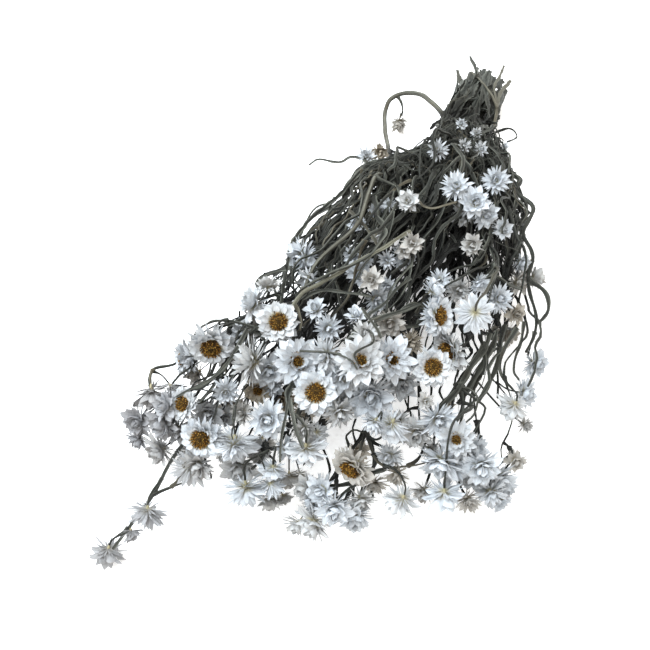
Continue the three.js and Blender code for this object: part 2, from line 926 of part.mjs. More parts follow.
// Long shoot that parts from the main stem and runs beside it.
function shoot(main, spray, number, turn) {
  const seed = number * 100 + 60 + turn * 17;
  const whole = lengthOf(main.knots);
  const bare = spray.bare || 0;
  const parting = SHOOT_ROOT + SHOOT_ROOT_STEP * turn + SHOOT_ROOT_RANGE * chance(seed);
  const from = whole * (bare + (1 - bare) * parting);
  const to = whole * (SHOOT_REACH + SHOOT_REACH_RANGE * chance(seed + 1));
  const root = rootOn(main, from);
  const inward = Math.sign(NECK_MIDDLE_X - along(main.knots, (from + to) / 2).x);
  const outer = turn === 1 && !spray.edge ? SHOOT_OUTWARD : 1;
  const size = SHOOT_SWING_LEAST + SHOOT_SWING_RANGE * chance(seed + 2);
  const knots = [];
  for (let step = 0; step <= SHOOT_STEPS; step += 1) {
    const share = step === 1 ? SHOOT_FIRST : step / SHOOT_STEPS;
    const loose = 2 * WANDER * share;
    const place = along(main.knots, from + share * (to - from));
    place.x += Math.sqrt(share) * SHOOT_SWING * inward * outer * size;
    place.x += (chance(seed + step * 3 + 3) - 0.5) * loose;
    place.y += (chance(seed + step * 3 + 4) - 0.5) * loose;
    place.z += (chance(seed + step * 3 + 5) - SHOOT_RISE) * Math.min(2 * WANDER, 2 * loose);
    knots.push(place);
  }
  knots[0] = root.place();
  return { spray: number, knots, root, widths: [SHOOT_START, SHOOT_END], sides: THIN_SIDES, taken: [] };
}

// Head and the stalk that carries it, from the nearest of the spray's hosts.
function stalkAndHead(hosts, spray, number, row, turn) {
  const [u, v, share, width, right, down, toward, open] = row;
  const seed = number * 100 + turn * 13 + 5;
  const axis = facing(right, down, toward);
  const base = spot(u, v, share).addScaledVector(axis, -HEAD_BASE * width);
  const back = base.clone().addScaledVector(axis, -STALK_STRAIGHT);
  const found = hosts.map((host) => ({ host, ...nearest(host.knots, back) }));
  const { host, length: end } = found.reduce((a, b) => (b.distance < a.distance ? b : a));
  const backLength = (STALK_BACK_LEAST + STALK_BACK_RANGE * chance(seed)) * (spray.sparse || 1);
  let start = Math.max(STALK_FIRST_PART * end, end - backLength);
  while (host.taken.some((one) => Math.abs(one - start) < ROOT_SPACING) && start > ROOT_SPACING)
    start -= ROOT_SPACING / 3;
  host.taken.push(start);
  const root = rootOn(host, start);
  const apart = back.clone().sub(along(host.knots, end));
  const knots = STALK_SHARES.map((part) =>
    along(host.knots, start + part * (end - start)).addScaledVector(apart, part ** STALK_SWING),
  );
  const loose = WANDER * Math.min(1, (end - start) / STALK_BACK_LEAST);
  const held = wander(knots.concat([base]), seed, loose);
  held[held.length - 2] = back;
  const stalk = { spray: number, knots: held, root, widths: [STALK_START, STALK_END], sides: THIN_SIDES };
  stalk.head = { spray: number, stalk, axis, width, open, seed };
  return stalk;
}

// Strands and heads of all the sprays.
const strands = SPRAYS.flatMap((spray, number) => {
  const main = mainStem(spray, number);
  const branches = spray.branches.map((rows, turn) => branch(main, rows, number, turn));
  const shoots = Array.from({ length: SHOOTS }, (_, turn) => shoot(main, spray, number, turn));
  const hosts = [main, ...branches, ...shoots];
  return hosts.concat(spray.heads.map((row, turn) => stalkAndHead(hosts, spray, number, row, turn)));
});
const heads = strands.filter((strand) => strand.head).map((strand) => strand.head);

// Nearest points of two segments, as shares along each.
function nearestShares(a, b, c, d) {
  const first = b.clone().sub(a);
  const second = d.clone().sub(c);
  const between = a.clone().sub(c);
  const aa = Math.max(first.dot(first), 1e-9);
  const bb = Math.max(second.dot(second), 1e-9);
  const ab = first.dot(second);
  const ac = first.dot(between);
  const bc = second.dot(between);
  const spread = aa * bb - ab * ab;
  const clamp = THREE.MathUtils.clamp;
  const s = spread > 1e-9 ? clamp((ab * bc - ac * bb) / spread, 0, 1) : 0;
  const t = clamp((ab * s + bc) / bb, 0, 1);
  return [clamp((ab * t - ac) / aa, 0, 1), t];
}

function widthAt(strand, k) {
  const share = k / (strand.knots.length - 1);
  return strand.widths[0] + (strand.widths[1] - strand.widths[0]) * share;
}

// Whether a knot is one of those where the strand lies on the surface.
function isResting(strand, knot) {
  return strand.resting !== undefined && strand.resting.includes(knot);
}

// Middle of a head's bracts.
function middleOf(head) {
  const base = head.stalk.knots[head.stalk.knots.length - 1];
  return base.clone().addScaledVector(head.axis, (HEAD_BASE + HEAD_MIDDLE) * head.width);
}

// Room that a head needs from its middle along a direction.
function roomOf(head, way) {
  const turned = Math.abs(way.dot(head.axis));
  const flat = Math.sqrt(1 - turned * turned) / (HEAD_CLEAR_RADIUS * head.width);
  return 1 / Math.hypot(flat, turned / (HEAD_CLEAR_HEIGHT * head.width));
}

// Straight pieces of all the strands, from knot to knot.
const pieces = strands.flatMap((strand) =>
  strand.knots.slice(1).map((knot, k) => ({
    strand,
    rooted: k === 0 && strand.root !== undefined,
    a: strand.knots[k],
    b: knot,
    wide: widthAt(strand, k),
  })),
);

// Moves strands and heads apart until they no longer touch.
function clearNeighbours() {
  const shifts = new Map();
  const push = (knot, way, size) => {
    if (size <= 0) return;
    if (!shifts.has(knot)) shifts.set(knot, { sum: new THREE.Vector3(), count: 0 });
    const shift = shifts.get(knot);
    shift.sum.addScaledVector(way, size);
    shift.count += 1;
  };
  const pushHead = (head, way, size) =>
    head.stalk.knots.slice(-2).forEach((knot) => push(knot, way, size));

  const clearPieces = (p, q) => {
    if (p.strand === q.strand) return;
    if (p.strand.spray === q.strand.spray && (p.rooted || q.rooted)) return;
    if (Math.abs(p.a.x + p.b.x - q.a.x - q.b.x) / 2 > CLEAR_REACH) return;
    if (Math.abs(p.a.y + p.b.y - q.a.y - q.b.y) / 2 > CLEAR_REACH) return;
    const [s, t] = nearestShares(p.a, p.b, q.a, q.b);
    const way = p.a.clone().lerp(p.b, s).sub(q.a.clone().lerp(q.b, t));
    const distance = way.length();
    const need = p.wide + q.wide + CLEAR_GAP;
    if (distance >= need) return;
    if (distance < 0.05) way.set(0, 0, 1);
    else way.divideScalar(distance);
    const size = (need - distance) / 2;
    push(p.a, way, size * (1 - s));
    push(p.b, way, size * s);
    push(q.a, way.negate(), size * (1 - t));
    push(q.b, way, size * t);
  };

  const clearHeads = (head, other) => {
    const way = middleOf(head).sub(middleOf(other));
    const distance = Math.max(way.length(), 1e-6);
    way.divideScalar(distance);
    const need = roomOf(head, way) + roomOf(other, way) + CLEAR_GAP;
    if (distance >= need) return;
    const size = (need - distance) / 2;
    pushHead(head, way, size);
    pushHead(other, way.negate(), size);
  };

  // A head is squashed along its axis, so its gap to a piece is measured with that undone.
  const clearHeadOfPiece = (head, piece) => {
    if (piece.strand === head.stalk) return;
    if (piece.strand.spray === head.spray && piece.rooted) return;
    const middle = middleOf(head);
    const squash = HEAD_CLEAR_HEIGHT / HEAD_CLEAR_RADIUS;
    const unsquash = (point) => {
      const from = point.clone().sub(middle);
      return from.addScaledVector(head.axis, from.dot(head.axis) * (1 / squash - 1));
    };
    const start = unsquash(piece.a);
    const step = unsquash(piece.b).sub(start);
    const share = THREE.MathUtils.clamp(-start.dot(step) / Math.max(step.lengthSq(), 1e-9), 0, 1);
    const way = start.addScaledVector(step, share);
    const size = HEAD_CLEAR_RADIUS * head.width + piece.wide + CLEAR_GAP - way.length();
    if (size <= 0) return;
    way.addScaledVector(head.axis, way.dot(head.axis) * (squash - 1)).normalize();
    push(piece.a, way, size * (1 - HEAD_YIELD) * (1 - share));
    push(piece.b, way, size * (1 - HEAD_YIELD) * share);
    pushHead(head, way.negate(), size * HEAD_YIELD);
  };

  const up = new THREE.Vector3(0, 0, 1);
  const liftHead = (head) => {
    const drop = Math.sqrt(1 - head.axis.z * head.axis.z) * HEAD_CLEAR_RADIUS;
    const room = Math.max(drop, HEAD_CLEAR_HEIGHT) * head.width;
    pushHead(head, up, room + FLOOR_GAP - middleOf(head).z);
  };
  const liftStrand = (strand) =>
    strand.knots.forEach((knot, k) => {
      if (!isResting(strand, knot)) push(knot, up, widthAt(strand, k) + FLOOR_GAP - knot.z);
    });

  for (let round = 0; round < CLEAR_ROUNDS; round += 1) {
    shifts.clear();
    pieces.forEach((piece, k) => {
      for (let next = k + 1; next < pieces.length; next += 1) clearPieces(piece, pieces[next]);
    });
    heads.forEach((head, k) => {
      heads.slice(k + 1).forEach((other) => clearHeads(head, other));
      pieces.forEach((piece) => clearHeadOfPiece(head, piece));
      liftHead(head);
    });
    strands.forEach(liftStrand);
    shifts.forEach(({ sum, count }, knot) => {
      knot.addScaledVector(sum, 1 / Math.max(1, count * CLEAR_EASE));
    });
    strands.forEach((strand) => {
      if (strand.root) strand.knots[0].copy(strand.root.place());
      strand.knots.forEach((knot, k) => {
        if (isResting(strand, knot)) knot.z = widthAt(strand, k) * MAIN_FLATNESS * REST_SHARE;
      });
    });
  }
}
clearNeighbours();

const wasm = await Module();
wasm.setup();

// Solid of closed points and faces.
function solidOf(points, faces) {
  return new wasm.Manifold(
    new wasm.Mesh({
      numProp: 3,
      vertProperties: new Float32Array(points),
      triVerts: new Uint32Array(faces),
    }),
  );
}

// Triangles between two rings, where either may have twice the points of the other.
function band(low, lowCount, high, highCount, faces) {
  const steps = Math.max(lowCount, highCount);
  for (let k = 0; k < steps; k += 1) {
    const next = (k + 1) % steps;
    const a = low + Math.floor((k * lowCount) / steps);
    const b = low + Math.floor((next * lowCount) / steps);
    const c = high + Math.floor((k * highCount) / steps);
    const d = high + Math.floor((next * highCount) / steps);
    if (a !== b) faces.push(a, b, c);
    if (c !== d) faces.push(b, d, c);
  }
}

// Closed solid through rings of points, fanned shut to a point at each end.
function ringSolid(first, rings, last) {
  const faces = rings[0].flatMap((_, k) => [0, 1 + ((k + 1) % rings[0].length), 1 + k]);
  let start = 1;
  rings.slice(1).forEach((ring, number) => {
    const before = rings[number].length;
    band(start, before, start + before, ring.length, faces);
    start += before;
  });
  const top = rings[rings.length - 1].length;
  const end = start + top;
  for (let k = 0; k < top; k += 1) faces.push(end, start + k, start + ((k + 1) % top));
  const points = [first, ...rings.flat(), last];
  return solidOf(points.flatMap((point) => point.toArray()), faces);
}

// Rings of a winged stem or a thin stalk along its knots.
function strandRings(strand, seed) {
  const { knots, sides } = strand;
  const isMain = sides === MAIN_SIDES;
  const isLying = isMain && strand.resting.length > 0;
  const flatness = isMain ? MAIN_FLATNESS : THIN_FLATNESS;
  const roll = isLying ? 0 : (chance(seed + 3) - 0.5) * (isMain ? MAIN_ROLL : THIN_ROLL);
  const side = new THREE.Vector3(Math.cos(roll), 0, Math.sin(roll));
  const rings = knots.map((knot, k) => {
    const way = new THREE.Vector3();
    if (k > 0) way.add(knot.clone().sub(knots[k - 1]).normalize());
    if (k < knots.length - 1) way.add(knots[k + 1].clone().sub(knot).normalize());
    way.normalize();
    side.addScaledVector(way, -side.dot(way));
    if (side.lengthSq() < 1e-4) side.set(0, 0, 1).addScaledVector(way, -way.z);
    if (isResting(strand, knot)) side.setZ(0);
    else side.applyAxisAngle(way, (chance(seed + k) - 0.5) * TWIST);
    side.normalize();
    const over = way.clone().cross(side);
    const wide = widthAt(strand, k);
    return Array.from({ length: sides }, (_, corner) => {
      const turn = (corner / sides) * 2 * Math.PI;
      const point = knot.clone().addScaledVector(side, Math.cos(turn) * wide);
      return point.addScaledVector(over, Math.sin(turn) * wide * flatness);
    });
  });
  // A strand that grows from another starts as a point inside it.
  return strand.root ? rings.slice(1) : rings;
}

function strandSolid(strand, seed) {
  const { knots } = strand;
  return ringSolid(knots[0], strandRings(strand, seed), knots[knots.length - 1]);
}

// Head on its stalk: an outer and an inner star of pointed bracts, and the disc in the middle.
function headSolid(head) {
  const { axis, width, open, seed } = head;
  const tips = THREE.MathUtils.clamp(Math.floor(width / WIDTH_PER_TIP), TIPS_LEAST, TIPS_MOST);
  const { knots } = head.stalk;
  const right = new THREE.Vector3(0, 0, 1).cross(axis);
  if (right.lengthSq() < 0.01) right.set(1, 0, 0);
  right.normalize();
  const up = axis.clone().cross(right);
  const root = knots[knots.length - 1].clone().addScaledVector(axis, HEAD_BASE * width);
  const opened = ([closed, wide]) => THREE.MathUtils.lerp(closed, wide, open);
  const place = (radius, turn, height) =>
    root
      .clone()
      .addScaledVector(right, radius * width * Math.cos(turn))
      .addScaledVector(up, radius * width * Math.sin(turn))
      .addScaledVector(axis, height * width);
  const star = (rootRadius, length, rise, lean, turned, salt) =>
    Array.from({ length: 2 * tips }, (_, k) => {
      const isTip = (k + turned) % 2 === 0;
      const share = isTip ? 1 - TIP_VARIATION * chance(seed + salt + k) : NOTCH;
      const radius = (rootRadius + length * Math.sin(lean)) * share;
      return place(radius, (k / tips) * Math.PI, rise + length * Math.cos(lean) * share);
    });
  const circle = (radius, height) =>
    Array.from({ length: tips }, (_, k) => place(radius, ((2 * k) / tips) * Math.PI, height));
  const outerLean = THREE.MathUtils.degToRad(opened(OUTER_LEAN));
  const innerLean = THREE.MathUtils.degToRad(opened(INNER_LEAN));
  const outer = star(OUTER_ROOT, OUTER_LENGTH, 0, outerLean, 0, 0);
  const valley = circle(opened(VALLEY_RADIUS), opened(VALLEY_HEIGHT));
  const inner = star(INNER_ROOT, INNER_LENGTH, INNER_RISE, innerLean, 1, 50);
  const rim = circle(opened(RIM_RADIUS), opened(RIM_HEIGHT));
  const crown = place(0, 0, opened(CROWN_HEIGHT));
  const bracts = width < SMALL_HEAD ? [outer, inner, rim] : [outer, valley, inner, rim];
  return ringSolid(knots[0], [...strandRings(head.stalk, seed), ...bracts], crown);
}

// Slab under the surface, which trims the resting stems flat.
function slabSolid() {
  const box = new THREE.BoxGeometry(SLAB_WIDTH, SLAB_LENGTH, SLAB_DEPTH);
  box.translate(0, 0, -SLAB_DEPTH / 2);
  const merged = mergeVertices(box.deleteAttribute("normal").deleteAttribute("uv"));
  return solidOf(merged.attributes.position.array, merged.index.array);
}

// One spray, joined to one body.
function sprayMesh(spray, number) {
  const solids = strands.flatMap((strand, k) => {
    if (strand.spray !== number) return [];
    return [strand.head ? headSolid(strand.head) : strandSolid(strand, k * 31)];
  });
  const joined = solids.reduce((whole, solid) => whole.add(solid));
  const trimmed = spray.rest ? joined.subtract(slabSolid()) : joined;
  const bodies = trimmed.decompose().sort((a, b) => b.volume() - a.volume());
  const mesh = bodies[0].getMesh();
  const geometry = new THREE.BufferGeometry();
  const points = new Float32Array(mesh.vertProperties);
  geometry.setAttribute("position", new THREE.BufferAttribute(points, 3));
  geometry.setIndex(new THREE.BufferAttribute(new Uint32Array(mesh.triVerts), 1));
  geometry.translate(-MIDDLE.x, -MIDDLE.y, -MIDDLE.z);
  const paper = new THREE.MeshStandardMaterial({
    color: PAPER_COLOUR,
    roughness: PAPER_ROUGHNESS,
    metalness: 0,
  });
  const node = new THREE.Mesh(geometry, paper);
  node.name = spray.name;
  return node;
}

const part = new THREE.Group();
part.add(...SPRAYS.map(sprayMesh));

export default part;
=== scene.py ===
"""Dried winged everlasting: the looks of a cut bunch that lies on its side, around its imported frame.

Lengths are in millimetres until a mesh is made, where MM turns them into Blender's metres. The
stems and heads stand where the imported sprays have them: they are placed from the same sight lines
and cleared of one another in the same rounds, and then get their wings, bracts and florets. Heads,
and strands that stand clear of the bunch, are then set on the sight lines on which they are seen.
"""

from dataclasses import dataclass, field

import bpy
import numpy as np
from mathutils import Matrix


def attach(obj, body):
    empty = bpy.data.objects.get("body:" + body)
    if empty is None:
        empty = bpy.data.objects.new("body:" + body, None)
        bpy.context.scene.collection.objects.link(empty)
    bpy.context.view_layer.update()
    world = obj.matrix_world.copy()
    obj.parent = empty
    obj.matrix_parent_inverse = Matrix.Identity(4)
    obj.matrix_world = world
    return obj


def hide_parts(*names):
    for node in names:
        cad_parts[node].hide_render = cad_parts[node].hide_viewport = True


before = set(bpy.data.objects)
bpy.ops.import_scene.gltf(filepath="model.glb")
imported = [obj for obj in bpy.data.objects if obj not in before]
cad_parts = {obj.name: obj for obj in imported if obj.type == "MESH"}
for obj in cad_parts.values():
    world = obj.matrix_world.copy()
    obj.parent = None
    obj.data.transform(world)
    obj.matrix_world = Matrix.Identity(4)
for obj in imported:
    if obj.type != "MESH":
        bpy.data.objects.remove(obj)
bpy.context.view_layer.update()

MM = 0.001

# Sight of the picture: the eye, its turn and tilt, and its focal length in the picture's own steps.
EYE = np.array([69.0, -338.0, 344.0])
EYE_TURN, EYE_TILT = np.radians([20.0, 49.0])
EYE_FOCUS = 700.0
PICTURE_SIZE = 650.0
PICTURE_MIDDLE = PICTURE_SIZE / 2
SENSOR = 36.0
SIGHT_TOP = 150.0
SIGHT_STEPS = 30
# Middle of the finished bunch on the surface, which is moved to the origin.
MIDDLE = np.array([1.8, 4.5, 0.0])

# Heap of the bunch: place along Y, height of its ridge, middle in X, half of its width.
HEAP = np.array([
    (-270, 12, -10, 60), (-200, 42, -8, 96), (-165, 64, -6, 110), (-125, 84, -4, 108), (-75, 95, 4, 98),
    (-15, 96, 12, 90), (50, 84, 12, 78), (120, 60, 12, 48), (185, 47, 7, 28), (270, 45, 7, 27),
], float)
HEAP_LOWEST = 4.0
# Lowest knot of a thin strand, and the least height that it is held under.
KNOT_LOWEST, KNOT_TOP_LEAST = 2.0, 3.0

# Half widths of the strands at the root and at the end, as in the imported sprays.
WIDTHS = {"main": (3.8, 1.7), "branch": (1.9, 1.2), "shoot": (1.7, 0.8), "stalk": (1.4, 0.9)}
MAIN_FLATNESS = 0.55
REST_SHARE = 0.5

# Neck of the bunch, where the stems run side by side.
NECK_INNER_Y = 138.0
NECK_MIDDLE_X = 6.0
NECK_PACKING = 0.86
NECK_SPREAD = 1.1

# Stalk of a head: how far back along its host it parts from it, and its straight end.
STALK_BACK_LEAST = 30.0
STALK_BACK_RANGE = 45.0
STALK_FIRST_PART = 0.08
STALK_STRAIGHT = 9.0
STALK_SHARES = (0, 0.17, 0.56, 1)
STALK_SWING = 0.75
ROOT_SPACING = 7.0
ROOT_SINK = 3.0
WANDER = 6.5
STEP_MOST = 34.0

# Long side shoots that run beside a main stem.
SHOOTS = 3
SHOOT_STEPS = 6
SHOOT_ROOT, SHOOT_ROOT_STEP, SHOOT_ROOT_RANGE = 0.16, 0.14, 0.12
SHOOT_REACH, SHOOT_REACH_RANGE = 0.75, 0.2
SHOOT_SWING, SHOOT_SWING_LEAST, SHOOT_SWING_RANGE = 19.0, 0.5, 0.8
SHOOT_OUTWARD = -0.4
SHOOT_FIRST = 0.07
SHOOT_RISE = 0.3

# Clearing of neighbours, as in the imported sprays.
CLEAR_ROUNDS = 60
CLEAR_GAP = 1.0
FLOOR_GAP = 0.6
CLEAR_REACH = 60.0
CLEAR_EASE = 0.55
HEAD_BASE = 0.16
HEAD_CLEAR_RADIUS = 0.54
HEAD_CLEAR_HEIGHT = 0.34
HEAD_MIDDLE = 0.1
HEAD_YIELD = 0.4

# Half widths of the strands as they are seen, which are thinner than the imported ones.
SEEN_WIDTHS = {
    "main": (3.9, 1.0), "smooth": (2.7, 0.95), "branch": (1.8, 1.0), "shoot": (1.9, 0.8),
    "stalk": (1.0, 0.65), "twig": (0.7, 0.5), "tendril": (1.2, 0.5), "curl": (0.75, 0.35),
    "blade": (3.4, 1.2), "litter": (4.4, 2.8),
}
RINGS = {
    "main": 130, "smooth": 130, "branch": 48, "shoot": 50, "stalk": 20, "twig": 8, "tendril": 32,
    "curl": 34, "blade": 36, "litter": 16,
}
# How far along a strand its rings are smoothed over.
RELAX = {
    "main": 10.0, "smooth": 4.0, "branch": 4.0, "shoot": 9.0, "stalk": 3.5, "twig": 2.0, "tendril": 6.0,
    "curl": 3.0, "blade": 8.0, "litter": 8.0,
}
# Sideways waves of a strand: size and length of the long and the short one.
WAVES = {
    "main": ((1.5, 52), (0.5, 21)), "branch": ((1.4, 34), (0.5, 14)), "shoot": ((2.4, 36), (0.8, 15)),
    "stalk": ((1.1, 25), (0.3, 10)), "twig": ((0.3, 9), (0.1, 5)), "tendril": ((3.2, 29), (1.1, 13)),
    "smooth": ((0.5, 47), (0.2, 19)), "curl": ((1.0, 19), (0.4, 8)), "blade": ((1.6, 41), (0.7, 15)),
    "litter": ((2.2, 37), (0.9, 17)),
}
CALM_WAVES = 0.3
CALM_ROLL = 0.22
SMOOTH_CORE = 0.88
SMOOTH_SIDES = 10
WAVE_FADE = 12.0
MAIN_ROLL, THIN_ROLL = 1.6, np.pi
KNOT_TWIST = 0.7
# Section of a winged stem: quarter turn of angles, the core, and the reach of its low wings.
WING_ANGLES = (4, 12, 28, 56, 83)
WING_THIN = 9.0
WING_CORE = 0.3
WING_LOW = 0.52
WING_WAVES = ((0.16, 33), (0.1, 12), (0.06, 4.3))
WING_TEAR, WING_TEAR_LENGTH = 0.3, 19
WING_BROAD = 1.22
THIN_SIDES = 6
THIN_CORE = 0.62
THIN_SWELL_LENGTH = 14
# Section of a blade, which is a thin lens, and the lengths of its swelling and of its tears.
BLADE_ANGLES = (0, 20, 90, 160, 180, 200, 270, 340)
BLADE_REACH = (1, 0.45, 0.1, 0.45, 1, 0.45, 0.1, 0.45)
BLADE_SWELL_LENGTH, BLADE_TEAR_LENGTH = 23, 11
FORK_SWELL, FORK_LENGTH = 0.8, 2.4
ROOT_CAP, TIP_CAP = 0.3, 0.4

# Thin tendrils that fill the bunch, for each spray.
TENDRILS = 13
TENDRIL_STEPS = 8
TENDRIL_FROM, TENDRIL_REACH, TENDRIL_SPARSE_REACH = 0.12, 0.36, 0.2
TENDRIL_LENGTH, TENDRIL_LENGTH_RANGE = 0.16, 0.2
TENDRIL_SWING, TENDRIL_SWING_LEAST = 26.0, 0.25
TENDRIL_RISE = 0.6
TENDRIL_LOOSE = 12.0
TENDRIL_TURNS = 1.3
TENDRIL_SPREAD = 0.72
TENDRIL_TOP = 0.94
# Depth under the heap's top, in millimetres, over which stems take on their painted shade.
DEPTH_DARK = 16.0
# How much of that painted shade is left from the fan to the neck: places along Y, and the shares.
NECK_PALE = ((150.0, 190.0), (1.0, 0.55))

# Fine curly shoots on top of the tangle, for each spray.
CURLS = 9
CURL_STEPS = 11
CURL_STEP = 6.5
CURL_TURN, CURL_BEND, CURL_HEADINGS = 1.9, 0.5, 3.0
CURL_TOP = 1.1
CURL_HEIGHT, CURL_HEIGHT_RANGE = 0.86, 0.25
CURL_CLIMB_STEPS, CURL_CLIMB_POWER = 3, 0.7
CURL_SPREAD = 0.8
CURL_FROM, CURL_RANGE = 0.31, 0.32
CURL_AHEAD = 20.0
# Least height of a curl, as a share of its root's.
CURL_DROP = 0.9

# Torn wings and strips that lie against the main stems: in the neck, and through the bunch.
NECK_BLADES = 4
NECK_BLADE_FROM, NECK_BLADE_RANGE = 4.0, 22.0
NECK_BLADE_LENGTH, NECK_BLADE_LENGTH_RANGE = 70.0, 50.0
NECK_BLADE_APART = 6.0
NECK_LENGTH = 70.0
BLADES = 6
BLADE_FROM, BLADE_RANGE = 0.2, 0.4
BLADE_LENGTH, BLADE_LENGTH_RANGE = 0.22, 0.2
BLADE_APART = 12.0
BLADE_KNOTS = 6
# Shift of a blade along X, Y and Z, and of each of its knots, as shares of how far apart they lie.
BLADE_SHIFT = (2, 0.5, 1.4)
BLADE_LOOSE = 0.6

# Broad dark wings low in the bunch, for each spray.
LITTER = 7
LITTER_FROM, LITTER_TO = 0.28, 0.6
LITTER_LENGTH, LITTER_SHARE, LITTER_SHARE_RANGE = 75.0, 0.7, 0.6
LITTER_APART = 46.0
LITTER_SLANT = 20.0
LITTER_HEIGHT, LITTER_HEIGHT_RANGE = 0.3, 0.35
LITTER_SPREAD = 0.66
LITTER_KNOTS = 5

# Where the left and the right edge of the stems are seen, as rows of (down, right).
LEFT_EDGE = (
    (60, 459), (100, 450), (118, 442), (140, 439), (150, 431), (154, 408), (160, 394), (168, 364),
    (195, 347), (235, 306), (262, 296), (276, 266), (320, 232), (345, 175),
)
RIGHT_EDGE = (
    (60, 486), (85, 503), (120, 500), (150, 504), (180, 512), (205, 528), (240, 520), (262, 528),
    (300, 530), (340, 520), (380, 506), (420, 500),
)

